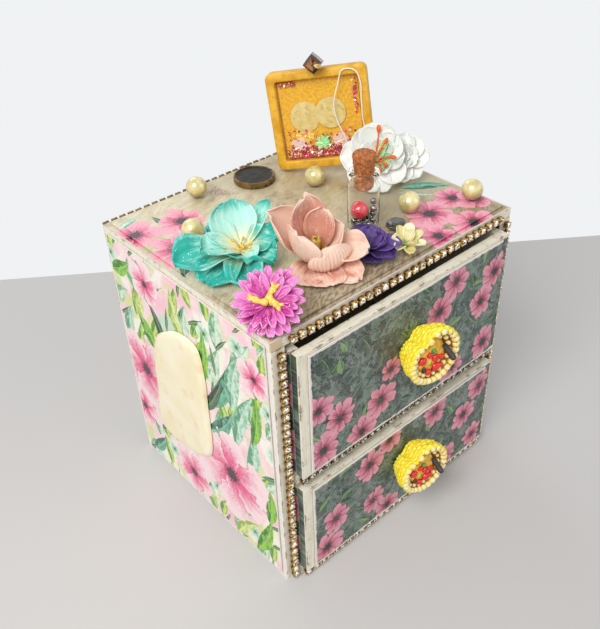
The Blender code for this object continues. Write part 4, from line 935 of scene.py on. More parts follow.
def clay_knob(drawer, finishes):
    """A bowl wound from twisted rope, with a beaded mouth, a berried filling and a dark peg."""
    low, high = span(drawer + "_knob_filling")
    middle = (low[2] + high[2]) / 2 - 0.4
    seat = span(drawer + "_knob_bowl")[1][1]
    yellow, pale, orange, berry, green, seed, dark = finishes
    body = drawer + "_drawer"

    def at(turn, reach, out):
        """Points at an angle, a reach as far as the outline lets it, and a distance out of the drawer."""
        x, z, y = np.moveaxis(polar(reach * knob_outline(turn), turn, seat - out), -1, 0)
        return np.stack([x, y, middle + z], -1)

    def bulge(t):
        """The bowl's share of its radius at a share of its depth."""
        return 0.62 + 0.38 * np.sin(t * np.pi / 2)

    def opened(name, parts, *looks, **others):
        """A piece made shallower towards the left, so that the mouth turns to the left."""
        for part in parts:
            part[0][:, 1] = seat - (seat - part[0][:, 1]) * (0.87 + 0.13 * part[0][:, 0] / KNOB_RADIUS)
        piece(f"{drawer}_{name}", parts, *looks, **others)

    t = np.linspace(0, 1, 10)
    reach = np.array([*(KNOB_RADIUS * bulge(t) - 1.1), KNOB_RADIUS - KNOB_WALL, KNOB_RADIUS - KNOB_WALL - 0.3,
                      KNOB_RADIUS - 2 * KNOB_WALL])
    out = np.array([*(0.96 * t), 0.97, 1 - 2 / KNOB_DEPTH, 1 - KNOB_RECESS / KNOB_DEPTH]) * KNOB_DEPTH
    # The bowl under the ropes keeps nought, so its finish paints it in the grooves' shade.
    rows = [marked(closed_rings(at(turns(72), reach[:, None], out[:, None])), 0)]
    around, across = turns(168)[:, None], turns(8)[None, :]
    for rope in range(ROPES):
        t = (rope + 0.5) / ROPES
        grain = np.abs(np.cos(14 * around + rope * np.pi / 2 + 0.5 * np.sin(3 * around + rope))) ** 0.6
        strand = 0.48 + 0.52 * grain + 0.08 * np.sin(7 * around + rope * 2)
        reach = KNOB_RADIUS * bulge(t) - 0.60 + 0.14 * np.sin(around * 5 + rope) + strand * np.cos(across)
        out = KNOB_DEPTH * t * 0.93 + strand * 1.05 * np.sin(across) + 0.2 * np.sin(around * 3 + rope * 2.0)
        # How high a point lies on its strand and grain, which the finish turns into painted shade down in the
        # grooves.
        crown = np.cos(across) * 0.4 + grain * 0.6
        rows.append(marked(wound(at(around, reach, np.clip(out, 0, KNOB_DEPTH - 0.5))), crown.ravel()))
    rim = turns(25)
    rim = rim[np.abs(away_from(NOTCH, rim)) >= 10]
    beads = []
    for angles, inset, sway, sunk, size, growth in ((rim, 1.15, 0.2, 0.95, 1.0, 0.2),
                                                    (turns(17) + 0.1, 3.1, 0.5, 1.9, 0.6, 0.25)):
        for angle in angles:
            centre = at(angle, KNOB_RADIUS - inset + sway * draws.random(), KNOB_DEPTH - sunk)
            beads.append(ball(centre, size + growth * draws.random(), 7, 10))
    opened("roped_bowl", rows, yellow, body, "yellow_clay", [drawer + "_knob_bowl"], 60)
    opened("mouth_beads", beads, pale, body, "yellow_clay", smooth=60)

    bed = KNOB_DEPTH - KNOB_RECESS
    reach = np.array([0.97, 0.97, 0.9, 0.72, 0.5, 0.3, 0.12])[:, None] * (KNOB_RADIUS - 2 * KNOB_WALL - 0.35)
    swell = np.array([0.35, 0.4, 2.2, 2.9, 3.2, 3.3, 3.3])[:, None]
    rings = at(turns(72), reach, bed + swell)
    lumps = 0.3 * np.sin(rings[..., 0] * 2.1) * np.cos(rings[..., 2] * 1.9 + 1)
    rings[..., 1] += lumps * (swell > 1)
    opened("filling", [closed_rings(rings)], orange, body, "orange_clay", [drawer + "_knob_filling"], 60)
    for name, finish, stretch, places in (
            ("berries", berry, (1, 0.9, 1), ((-0.42, 0.12, 1.4), (-0.12, 0.22, 1.0), (0.12, 0.02, 1.3),
                                             (0.36, -0.04, 1.0), (0.16, -0.36, 1.5), (-0.14, -0.46, 1.1),
                                             (0.38, -0.40, 0.9))),
            ("green_beads", green, (1, 1, 1), ((0.04, 0.32, 0.85), (-0.04, -0.18, 0.5))),
            ("seed", seed, (0.8, 0.8, 1.3), ((-0.32, -0.30, 0.9),))):
        balls = [ball((x * KNOB_RADIUS, seat - bed - 3.5, middle + z * KNOB_RADIUS), size, 9, 14, stretch)
                 for x, z, size in places]
        opened(name, balls, finish, body, "orange_clay", smooth=80)
    lean = unit([-0.23, -0.92, -0.32])
    foot = np.array([0.46 * KNOB_RADIUS, seat - bed - 2.6, middle + 0.42 * KNOB_RADIUS])
    t = np.linspace(0, 1, 22)
    path = foot + lean * (0.1 + 6.1 * t)[:, None]
    reach = 0.98 * np.clip(1 - np.abs(2 * t - 1) ** 8, 0.03, 1) ** 0.5 * (1 + 0.05 * np.sin(t * 60))
    piece(drawer + "_peg", [tube(path, reach, 16)], dark, body, "dark_clay", [drawer + "_knob_peg"], 60)


def clay(name, low, high, grain=1.5, rough=0.45, coat=0.1):
    """Baked clay in two near colours, with small marks."""
    f = Finish(name)
    colour = f.blend(f.wide_noise(f.here(), grain), low, high)
    marks = f.noise(f.here(), 0.35, 3.0)
    return f.set(colour, marks * 0.25 + rough - 0.1, normal=f.bump(marks, 0.08, 0.5), coat=(coat, 0.2))


def rope_clay():
    """Bright yellow grains with a painted shade of amber down in the grooves between them."""
    f = Finish("yellow_rope")
    crown, _, _ = f.place()
    # Painted shade: amber where a point lies low on its strand or between grains.
    colour = f.over(tint(255, 222, 20), (f.wide_noise(f.here(), 1.4), tint(255, 246, 84)),
                    (f.step(crown, 0.45, 0.05), tint(180, 122, 4)))
    marks = f.noise(f.here(), 0.4, 3.0)
    return f.set(colour, marks * 0.25 + 0.35, normal=f.bump(marks, 0.12, 0.6), coat=(0.1, 0.2))


knob_finishes = (rope_clay(),
                 clay("pale_beads", tint(250, 222, 110), tint(255, 246, 204)),
                 clay("orange_filling", tint(255, 178, 30), tint(255, 226, 104)),
                 clay("red_berries", tint(206, 6, 14), tint(242, 44, 22), 1.0, 0.3, 0.6),
                 clay("green_beads", tint(60, 130, 40), tint(110, 170, 70), 1.0, 0.35, 0.5),
                 clay("brown_seed", tint(60, 34, 14), tint(104, 62, 24), 0.8, 0.4, 0.3),
                 clay("dark_peg", tint(38, 34, 34), tint(66, 60, 58), 0.8, 0.5))
for drawer in ("upper", "lower"):
    clay_knob(drawer, knob_finishes)


# ---- shaker frame ----

FRAME_WIDTH, FRAME_HEIGHT, FRAME_DEPTH = 33.8, 33.0, 4.2
FRAME_TURN, FRAME_ROLL, FRAME_LEAN = -51.4, 7.9, 7.7


def frame_directions():
    """The frame's directions along, up and out, after its turn, lean and roll."""
    turn, roll, lean = np.radians([FRAME_TURN, FRAME_ROLL, FRAME_LEAN])
    level = np.array([math.cos(turn), math.sin(turn), 0])
    facing = np.array([math.sin(turn), -math.cos(turn), 0])
    steep = np.array([0, 0, 1]) * math.cos(lean) - facing * math.sin(lean)
    along = level * math.cos(roll) + steep * math.sin(roll)
    up = steep * math.cos(roll) - level * math.sin(roll)
    return along, up, np.cross(along, up)


ALONG, UP, OUT = frame_directions()
# The middle of the frame's lower front edge; its lowest corner stands on the top.
FRAME_FOOT = np.array([23.20, 0.1840 * CASE_DEPTH,
                       TOP_SEAT + ALONG[2] * FRAME_WIDTH / 2 + OUT[2] * FRAME_DEPTH])


def on_frame(points):
    """Points given along, up and out from the middle of the frame's lower front edge."""
    return np.asarray(points, float) @ np.array([ALONG, UP, OUT]) + FRAME_FOOT


def framed(patch):
    """A patch carried on to the frame."""
    return placed(patch, FRAME_FOOT, ALONG, UP, OUT)


def rounded_rectangle(inset, radius, out, steps=7):
    """A rounded rectangle of the frame as points, inset from its edge."""
    half, low, high = FRAME_WIDTH / 2 - inset, inset, FRAME_HEIGHT - inset
    ring = []
    for corner, (x, y) in enumerate(((half - radius, high - radius), (radius - half, high - radius),
                                     (radius - half, low + radius), (half - radius, low + radius))):
        turn = np.pi / 2 * (corner + np.linspace(0, 1, steps))
        ring.append(np.stack([x + radius * np.cos(turn), y + radius * np.sin(turn), out + 0 * turn], -1))
    return np.concatenate(ring)


def tray(*steps):
    """A closed body on the frame, of rounded rectangles with an inset, a radius and a place out."""
    return framed(closed_rings(np.stack([rounded_rectangle(*step) for step in steps])))


def shaker_frame():
    """The tray: from the back, round the softened front edge, down to its floor; and its window."""
    wood = tray((0.35, 2.0, -FRAME_DEPTH), (0, 2.2, -3.9), (0, 2.2, -0.5), (0.15, 2.1, -0.15), (0.5, 2.0, 0.0),
                (2.5, 1.2, 0.0), (2.85, 1.1, -0.12), (3.0, 1.0, -0.4), (3.0, 1.0, -3.2))
    f = Finish("mustard_paint")
    grain = f.noise(f.here(), 0.8, 4.0)
    spots = f.node("TexVoronoi", None, {"Vector": f.here(), "Scale": 2.6})
    flake = spots.below(0.10) * f.parts(spots.other("Color"))[0].below(0.3)
    colour = f.over(f.blend(f.wide_noise(f.here(), 3.0), tint(214, 156, 26), tint(240, 188, 58)),
                    (f.step(grain, 0.6, 0.7) * 0.5, tint(196, 128, 20)), (flake, tint(255, 236, 170)))
    f.set(colour, 0.5 - flake * 0.3, flake * 0.6, f.bump(grain, 0.08, 0.6))
    piece("mustard_frame", [wood], f, slot="mustard_card", replaces=["shaker_frame"], smooth=50)

    film = Finish("clear_film")
    film.set(tint(250, 250, 250), film.noise(film.here(), 4.0) * 0.1, alpha=0.02)
    piece("window_film", [tray((3.3, 1.0, -0.9), (3.3, 1.0, -0.4))], film, slot="clear_film",
          replaces=["shaker_window"], smooth=30)


def petal_disc(radius, petals, depth, centre, hollow=0.25):
    """A flower sequin: a disc whose edge follows a cosine, dished towards its middle."""
    turn = turns(petals * 8)[None, :]
    edge = 1 - hollow * (1 - np.abs(np.cos(turn * petals / 2)) ** 0.6)
    share = np.array([1.0, 1.0, 0.6, 0.2])[:, None]
    height = np.array([0.0, 0.12, 0.12, 0.05])[:, None] + 0.10 * share * np.cos(turn * petals)
    height[0] = 0
    return closed_rings(polar(radius * share * (1 + (edge - 1) * share), turn, height) + [*centre, depth])


def card_and_sequins():
    """The card behind the window, with two bare discs and flower sequins."""
    mustard = fibrous("card_back", tint(226, 164, 12), tint(244, 194, 44), 0.7, 4.0, 0.8, 0.05, 0.5,
                      specular_ior_level=0.2)
    piece("card_back", [tray((3.45, 0.9, -2.9), (3.45, 0.9, -2.4))], mustard, slot="sequins",
          replaces=["shaker_sequins"], smooth=30)
    discs = Finish("bare_discs")
    faded = discs.step(discs.noise(discs.here(), 1.3, 3.0), 0.58, 0.66)
    colour = discs.over(tint(220, 192, 104), (discs.wide_noise(discs.here(), 2.2), tint(234, 212, 142)),
                        (faded * 0.4, tint(150, 122, 84)))
    discs.set(colour, 0.35, normal=discs.bump(discs.noise(discs.here(), 0.8), 0.06, 0.5), coat=(0.5, 0.15))
    profile = [(0.2, -2.4), (4.9, -2.4), (5.2, -2.25), (5.1, -2.0), (0.5, -1.95)]
    piece("pale_discs", [framed(lathe(profile, 40, centre)) for centre in ((-5.4, 17.3, 0), (3.4, 18.0, 0.25))],
          discs, slot="sequins", smooth=50)

    for name, finish, low, high, sequins in (
            ("green_sequin", "green_pearl", tint(120, 246, 180), tint(226, 255, 150), (
                (3.1, 8, -1.75, (-0.2, 7.9), 0.4), (1.2, 6, -1.5, (-0.2, 7.9)))),
            ("pink_sequins", "pink_pearl", tint(250, 196, 186), tint(250, 232, 216), (
                (3.2, 5, -2.0, (-8.7, 7.4)), (3.0, 5, -1.9, (5.8, 8.4)), (1.1, 5, -1.6, (-8.7, 7.4)),
                (1.1, 5, -1.6, (5.8, 8.4)))),
            ("gold_sequin", "gold_pearl", tint(250, 184, 36), tint(255, 226, 110), (
                (3.2, 12, -2.2, (-6.4, 11.0), 0.12),))):
        pearly = mottled(finish, low, high, 1.2, 0.25, 0.1, 2.0, 0.5, coat=(1.0, 0.05))
        piece(name, [framed(petal_disc(*sequin)) for sequin in sequins], pearly, slot="sequins", smooth=50)


def glitter():
    """Flakes of random tilt: a drift along the card's foot, some in its upper corners, some spread above."""
    count = 1200
    flake = lathe([(0.30, 0.0), (0.34, 0.06), (0.26, 0.12)], 6)
    along = draws.uniform(-12.8, 12.8, count)
    drift = np.abs(draws.normal(0, 1.25, count)) * (1 + 0.4 * np.cos(draws.uniform(0, 6, count)))
    place = np.stack([along, 3.7 + drift, draws.uniform(-2.2, -1.15, count)], -1)
    corners = draws.random(count) < 0.08
    few = corners.sum()
    place[corners, 0] = np.where(draws.random(few) < 0.5, draws.uniform(-12.6, -7.5, few),
                                 draws.uniform(11.8, 12.9, few))
    place[corners, 1] = np.where(place[corners, 0] < 0, draws.uniform(28.4, 29.3, few),
                                 draws.uniform(17, 29, few))
    spread = draws.random(count) < 0.07
    place[spread, 1] = draws.uniform(4, 13, spread.sum())
    kinds = draws.random(count)
    flakes = []
    for centre, kind in zip(place, kinds):
        face = unit(draws.normal(0, 0.5, 3) + [0, 0, 1])
        right = unit(np.cross(face, [0.3, 1, 0.1]))
        turned = placed(flake, centre, right * 1.3, np.cross(face, right) * 1.3, face)
        flakes.append(framed(marked(turned, kind)))
    f = Finish("glitter")
    kind, _, _ = f.place()
    reds = f.blend(kind.below(0.62), tint(228, 46, 96), tint(178, 0, 34))
    warm = f.blend(kind.below(0.12), reds, tint(250, 214, 120))
    colour = f.blend(kind.below(0.94), tint(250, 236, 236), warm)
    f.set(colour, 0.2, 0.45, coat=(0.8, 0.05))
    piece("glitter", flakes, f, slot="sequins", smooth=None)


def crystal_bead():
    """A diamond-set square bead: stepped squares from the frame's face to its front, each face flat, with
    painted highlights on some facets.
    """
    steps = ((0.94, -2.4), (1.0, -2.1), (1.0, 0.0), (0.98, 1.2), (0.64, 2.05), (0.22, 1.7))
    share, depth = np.array(steps).T[:, :, None]
    reach = 3.3 * np.tile([1, 0.52 * 2 ** 0.5], 4)
    bead = closed_rings(polar(share * reach, turns(8), depth))
    centre = on_frame([0.015 * FRAME_WIDTH, 1.067 * FRAME_HEIGHT, 2.4])
    f = Finish("amber_glass")
    glint = f.glint()
    # Painted highlights: a share of the facets is painted lighter amber and a few bright.
    colour = f.over(tint(62, 32, 14), (f.step(glint, 0.55, 0.75), tint(168, 104, 46)),
                    (f.step(glint, 0.86, 0.9), tint(236, 196, 128)))
    f.set(colour, 0.06, 0.15, coat=(1.0, 0.02))
    give_glint(piece("amber_crystal", [placed(bead, centre, ALONG, UP, OUT)], f, slot="amber_crystal",
                     replaces=["crystal_bead"], smooth=None))


# The thread's places along and up the frame's front, how far out of it they lie, and its two twisted plies,
# which follow its line in even steps.
THREAD_ROUTE = (
    (9.8, -4.3), (9.4, -2.0), (8.9, 1.5), (8.4, 6.0), (7.5, 10.5), (6.2, 14.0), (5.2, 18.2), (5.3, 21.7),
    (6.1, 24.6), (7.2, 27.2), (8.0, 29.6), (8.8, 31.4), (10.2, 32.1), (12.2, 31.9), (13.8, 30.8), (14.6, 28.5),
    (14.8, 25.5), (14.5, 22.6), (14.4, 19.6), (14.2, 16.7), (14.5, 13.5), (15.0, 9.5), (15.3, 5.0), (15.4, 0.5),
    (15.4, -5.0))
THREAD_OUT = 0.6
PLY_RADIUS, PLY_SHIFT, PLY_TWIST, PLY_STEPS = 0.15, 0.095, 1.5, 420


def thread_loop():
    """Two plies that wind round the thread's line; the line is the route's own smooth curve."""
    line = on_frame(smooth_path([(x, y, THREAD_OUT) for x, y in THREAD_ROUTE], 14))
    step = np.linalg.norm(np.diff(line, axis=0), axis=1)
    travel = np.concatenate([[0], np.cumsum(step)])
    length = travel[-1]
    even = np.linspace(0, length, PLY_STEPS)
    line = np.stack([np.interp(even, travel, line[:, axis]) for axis in range(3)], -1)
    tangent = unit(np.gradient(line, axis=0))
    normal = unit(np.cross(tangent, OUT))
    binormal = np.cross(tangent, normal)
    plies = []
    for shift in (0, np.pi):
        twist = (even * 2 * np.pi / PLY_TWIST + shift)[:, None]
        path = line + PLY_SHIFT * (np.cos(twist) * normal + np.sin(twist) * binormal)
        plies.append(tube(path, PLY_RADIUS, 8, OUT))
    f = Finish("white_thread")
    fuzz = f.noise(f.here(), 0.12, 2.0)
    f.set(f.blend(fuzz, tint(236, 230, 214), tint(252, 250, 244)), 0.7, normal=f.bump(fuzz, 0.02, 0.4))
    item = piece("thread", plies, f, slot="white_thread", replaces=["thread_loop"], smooth=70)


shaker_frame()
card_and_sequins()
glitter()
crystal_bead()
thread_loop()


# ---- flowers ----

def petal(length, width, climb, curl, cup=0.3, ruffle=0.0, waves=2.0, ribs=0.0, shade=None, waist=0.3,
          widest=0.62, folds=7, rows=18, columns=None):
    """A petal as a sheet, in reach, width and height.

    s runs along it and t across it. The centre line climbs at an angle that goes from climb to curl, so
    reach and height are running sums of its cosine and sine. The half width swells from the waist to
    its widest place and closes as an ellipse; the sides lift with cup times t squared, the rim ruffles
    as sines of s and t, and ribs press in a cosine of t.
    """
    columns = columns or (31 if ribs else 15)
    s = np.linspace(0, 1, rows)[:, None]
    t = np.linspace(-1, 1, columns)[None, :]
    angle = np.radians(climb + (curl - climb) * s)
    step = length / (rows - 1)
    reach = np.concatenate([[[0]], np.cumsum(np.cos(angle[:-1]), 0) * step])
    rise = np.concatenate([[[0]], np.cumsum(np.sin(angle[:-1]), 0) * step])
    grow = waist + (1 - waist) * np.sin(np.clip(s / widest, 0, 1) * np.pi / 2) ** 1.2
    close = np.sqrt(1 - 0.94 * np.clip((s - widest) / (1 - widest), 0, 1) ** 2.4)
    half = width / 2 * grow * close
    phase = draws.uniform(0, 6.28, 3)
    lift = cup * half * t ** 2
    lift = lift + ruffle * np.sin(waves * np.pi * s + np.where(t > 0, phase[0], phase[1])) * t ** 2 * s
    lift = lift + ruffle * 0.8 * np.sin(waves * 1.7 * t + phase[2]) * s ** 3
    lift = lift + ribs * np.cos(t * np.pi * folds) * np.sin(s * np.pi) ** 0.5
    side = half * t * (1 - 0.12 * cup * t ** 2)
    points = np.stack([reach - lift * np.sin(angle), side, rise + lift * np.cos(angle)], -1)
    shade = draws.random() if shade is None else shade
    values = np.stack([s + 0 * t, t + 0 * s, np.full((rows, columns), shade)], -1)
    return points.reshape(-1, 3), [quads(rows, columns, wrap=False)], values.reshape(-1, 3)


def in_flower(patch, flower, turn=0.0, out=0.0, up=0.0, aside=0.0):
    """A patch turned round a flower's axis and carried to its place, kept above the paper."""
    place, tilt = flower
    face, lean, angle = math.radians(VIEWER_TURN), math.radians(tilt), math.radians(turn)
    facing = np.array([math.cos(face), math.sin(face), 0])
    right = np.array([-facing[1], facing[0], 0])
    upright = np.array([0, 0, 1])
    down = facing * math.cos(lean) - upright * math.sin(lean)
    axis = upright * math.cos(lean) + facing * math.sin(lean)
    outward = down * math.cos(angle) + right * math.sin(angle)
    sideways = right * math.cos(angle) - down * math.sin(angle)
    centre = place + outward * out + sideways * aside + axis * up
    moved = placed(patch, centre, outward, sideways, axis)
    moved[0][:, 2] = np.maximum(moved[0][:, 2], TOP_SEAT + 0.3 + draws.uniform(0, 0.9))
    return moved


def petal_finish(name, deep, pale, heart, tip=None, glitter=0.0, vein=0.3, rough=0.62,
                 relief=0.22, heart_reach=0.34):
    """Soft paper: the colour runs from the heart out along the petal, with fine veins and glitter."""
    f = Finish(name)
    s, t, kind = f.place()
    veins = f.noise(f.spot(s * 1.6, t * 7.0, kind * 20), 1.0, 3.0)
    cloud = f.noise(f.here(), 3.5, 3.0)
    tone = f.step(cloud + (kind - 0.5) * 0.5 + (veins - 0.5) * vein, 0.3, 0.7)
    colour = f.over(deep, (tone, pale), (f.step(s + (veins - 0.5) * 0.3, heart_reach, 0.05), heart))
    if tip:
        colour = f.blend(f.step(s + (veins - 0.5) * 0.4, 0.72, 1.02), colour, tip)
    fibre = f.noise(f.here(), 0.4, 3.0)
    normal = f.bump(veins * 0.7 + fibre * 0.3, relief, 0.6)
    if glitter:
        spots = f.node("TexVoronoi", None, {"Vector": f.here(), "Scale": 1.9, "Randomness": 1.0})
        chance = f.parts(spots.other("Color"))[0]
        drift = f.step(f.noise(f.here(), 4.0, 2.0), 0.42, 0.62)
        speck = spots.below(0.28) * chance.below(drift * glitter * 2) * f.step(s, 0.15, 0.5)
        colour = f.blend(speck * 0.85, colour, tint(255, 250, 240))
        rough = rough - speck * (rough - 0.12)
    return f.set(colour, rough, normal=normal)


def stamen_finish(name, low, high):
    """Yellow or orange flocked stamens."""
    return fibrous(name, low, high, 0.5, 3.0, 0.7, 0.15, 0.8)


def grown(flower, table, **same):
    """Petals of a flower. Each row is a turn, how far out and up it starts, and the petal's own values."""
    return [in_flower(petal(*sizes, **same), flower, turn, out, up) for turn, out, up, *sizes in table]


def whorl(flower, out, tiers, table, **same):
    """Petals that start in tiers, each a little above the last. Each row is a turn and the petal's values."""
    return grown(flower, [(turn, out, 0.2 * (number % tiers), *sizes)
                          for number, (turn, *sizes) in enumerate(table)], **same)


def stamens(flower, start, radius, table):
    """Stalks that climb outwards in a curve. Each row is a turn, a reach, a rise and the knob's size."""
    stalks, tips = [], []
    t = np.linspace(0, 1, 10)
    for turn, reach, rise, knob in table:
        path = np.stack([start + reach * t ** 1.3, 0.15 * np.sin(t * 5), rise * np.sin(t * np.pi / 2)], -1)
        stalks.append(in_flower(tube(path, radius * (1 - 0.3 * t), 7, (0, 1, 0)), flower, turn))
        tips.append(in_flower(ball(path[-1], knob, 7, 10, (1.5, 0.8, 0.9)), flower, turn))
    return stalks + tips


# Each flower's place and its tilt towards the camera. In the tables below a petal has, after its turn and its
# start out and up: length, width, climb, curl, cup, ruffle, waves, ribs and shade.
TEAL = ((-30.4, -5.3, 102.3), 14)
PEACH = ((-16.4, -22.5, 103.0), 19)
DAISY = ((-44.2, -35.3, 106.5), 42)
PURPLE = ((-3.0, -30.4, 102.2), 4)
CREAM = ((6.4, -36.6, 102.6), 6)
WHITE = ((31.3, 0.0, 108.5), 48)
BLOSSOM = ((39.3, -3.7, 107.7), 48)

piece("teal_petals", grown(TEAL, (
    (-160, 0.5, 0.4, 15.0, 15.0, 32, 64, 0.42, 0.8, 2, 0.08, 1.1),
    (-112, 0.5, 0.6, 12.0, 10.0, 26, 46, 0.5, 0.9, 2, 0, 0.8),
    (144, 1.5, 0.2, 16.0, 7.0, 20, 48, 0.9, 0.7, 1.5, 0, 0.9),
    (96, 0.5, 0.2, 11.5, 11.0, 26, 14, 0.6, 1.7, 3, 0, 0.35),
    (-68, 0.5, 0.2, 20.0, 14.5, 22, -4, 0.45, 1.7, 3, 0.10, 0.3),
    (-32, 1, 0.0, 17.0, 13.0, 20, -12, 0.4, 2.0, 3.6, 0.10, 0.15),
    (6, 1, 0.0, 15.0, 12.0, 22, -14, 0.5, 2.1, 3.4, 0.10, 0.2),
    (50, 1, 0.2, 12.5, 9.5, 28, 6, 0.7, 1.6, 3, 0, 0.3),
    (-58, 0, 0.8, 14.0, 12.0, 28, 30, 0.5, 1.2, 2, 0.08, 0.9),
    (6, 0, 0.8, 10.0, 11.0, 26, 30, 0.5, 1.2, 2, 0, 0.8))),
      petal_finish("teal_paper", tint(48, 186, 172), tint(188, 244, 232), tint(240, 236, 196),
                   tip=tint(40, 186, 170), glitter=0.16, vein=1.0, rough=0.36, relief=0.5,
                   heart_reach=0.62),
      slot="teal_petals", replaces=["teal_flower"], smooth=80, wall=0.3)
piece("teal_stamens", stamens(TEAL, 0.2, 0.28, (
    (160, 1.6, 4.0, 0.55), (100, 2.8, 3.2, 0.55), (60, 3.0, 3.6, 0.55), (-10, 3.0, 2.6, 0.55),
    (-60, 3.4, 2.8, 0.55), (-120, 2.6, 3.6, 0.55), (30, 1.4, 4.0, 0.55))),
      stamen_finish("yellow_stamens", tint(214, 172, 50), tint(246, 220, 120)), slot="teal_petals", smooth=60)

peach_petals = grown(PEACH, (
    (12, 2.0, -0.2, 13.2, 13.0, 4, 8, 0.3, 1.5, 3.4, 0, 0.5),
    (-20, 2.0, -0.1, 12.4, 11.0, 6, 10, 0.35, 1.5, 3, 0, 0.6),
    (46, 2.0, -0.1, 14.8, 10.0, 6, 14, 0.4, 1.6, 3, 0, 0.4),
    (-106, 0.8, 0.2, 19.5, 14.5, 22, 74, 0.6, 1.3, 2, 0.1, 0.9),
    (-54, 3.2, 0.0, 16.0, 15.5, 44, 112, 0.5, 0.8, 2, 0.1, 1.0),
    (76, 0.8, 0.2, 15.6, 12.0, 14, 32, 0.55, 0.8, 2, 0, 0.9),
    (106, 0.8, 0.6, 11.8, 13.0, 44, 60, 0.4, 0.5, 2, 0, 1.0),
    (-156, 0.5, 0.8, 18.6, 12.0, 46, 92, 0.7, 1.3, 2, 0.12, -0.1),
    (158, 0.5, 0.8, 14.0, 10.0, 52, 78, 0.6, 0.7, 2, 0, 0.1)))
shell = petal(13.8, 14.4, 26, 146, 0.4, 0.2, 2, 0.17, 0.9, waist=0.6, folds=13, columns=91)
piece("peach_petals", [*peach_petals, in_flower(shell, PEACH, 24, 5.4, -0.4, 1.0)],
      petal_finish("peach_paper", tint(216, 154, 134), tint(250, 216, 196), tint(164, 102, 76),
                   tip=tint(248, 214, 196), glitter=0.14, vein=0.5, heart_reach=0.55),
      slot="peach_petals", replaces=["peach_flower"], smooth=80, wall=0.3)
buds = [in_flower(petal(6.4, 3.4, 78, 92, 0.9, 0.2, rows=10, columns=9), PEACH, turn, 0.4, 1.0)
        for turn in (0, 120, 240)]
buds += [in_flower(petal(4.0, 2.2, 42, 70, 0.8, 0.3, rows=10, columns=9), PEACH, turn, 0.8, 1.0)
         for turn in (40, 85, 140, 200)]
piece("peach_bud", buds, stamen_finish("olive_bud", tint(188, 150, 52), tint(232, 206, 112)),
      slot="peach_petals", smooth=70, wall=0.35)

daisy_petals = []
for count, first, sway, out, up, length, growth, width, climb, curl, cup in (
        (20, 0, 2, 1.2, 0.0, 8.5, 0.35, 2.7, 2, 8, 0.8), (16, 9, 3, 1.0, 0.7, 6.9, 0.5, 2.5, 14, 22, 0.9)):
    daisy_petals += grown(DAISY, [
        (360 / count * number + first + draws.normal(0, sway), out, up, length + draws.normal(0, growth), width,
         climb, curl + draws.normal(0, 9), cup, 0.25) for number in range(count)],
        waist=0.5, widest=0.55, rows=10, columns=9)
daisy_petals.append(marked(in_flower(ball((0, 0, 0), 1.8, 8, 16, (1, 1, 0.5)), DAISY), 0.2))
piece("daisy_petals", daisy_petals,
      petal_finish("magenta_paper", tint(204, 62, 160), tint(242, 146, 214), tint(176, 48, 128),
                   tip=tint(248, 172, 226), glitter=0.4, vein=0.8, relief=0.4),
      slot="magenta_petals", replaces=["magenta_daisy"], smooth=70, wall=0.28)
daisy_arms = []
for turn, long in ((-98, 5.4), (160, 4.6), (62, 2.8)):
    t = np.linspace(0, 1, 16)
    path = np.stack([0.2 + long * t, 0.35 * np.sin(t * 5), 1.5 + 0.9 * np.sin(t * np.pi)], -1)
    reach = 0.92 * (1 + 0.25 * np.sin(t * 12)) * np.clip(1.25 - t, 0.3, 1) ** 0.3 * np.clip(t * 6 + 0.4, 0, 1)
    daisy_arms.append(in_flower(tube(path, reach, 10), DAISY, turn))
    t = np.linspace(0, 1, 8)
    for fork in (-1, 1):
        side = path[-5] + np.stack([1.4 * t, fork * t, 0.3 * t], -1)
        daisy_arms.append(in_flower(tube(side, 0.66 * (1.1 - 0.5 * t)), DAISY, turn))
piece("daisy_stamens", daisy_arms, stamen_finish("butter_stamens", tint(232, 196, 66), tint(252, 232, 130)),
      slot="magenta_petals", smooth=70)

piece("purple_petals", whorl(PURPLE, 0.4, 3, (
    (86, 9.6, 8.0, 20, 12), (44, 9.0, 7.5, 14, 2), (128, 6.6, 7.0, 34, 40), (4, 7.6, 7.0, 10, 4),
    (-44, 7.2, 6.5, 16, 14), (-150, 7.4, 7.0, 40, 56), (172, 7.0, 7.0, 44, 60), (66, 6.0, 6.0, 40, 34),
    (108, 5.4, 5.4, 46, 40)), cup=0.3, ruffle=0.5, waves=3.5, rows=12, columns=11),
      petal_finish("purple_paper", tint(52, 34, 88), tint(104, 74, 150), tint(40, 26, 66), vein=0.5),
      slot="purple_petals", replaces=["purple_flower"], smooth=80, wall=0.3)

piece("cream_petals", whorl(CREAM, 0.5, 2, [
    (turn, length, 3.6, climb, climb + 8) for turn, length, climb in (
        (8, 5.2, 8), (62, 5.8, 16), (112, 6.0, 26), (160, 6.2, 38), (-150, 5.8, 42), (-95, 4.6, 30),
        (-42, 5.0, 14), (35, 4.4, 34), (136, 4.6, 52))], cup=0.6, ruffle=0.3, rows=12, columns=9),
      petal_finish("cream_paper", tint(222, 212, 146), tint(250, 244, 208), tint(150, 158, 50), vein=0.4),
      slot="cream_petals", replaces=["cream_flower"], smooth=70, wall=0.3)

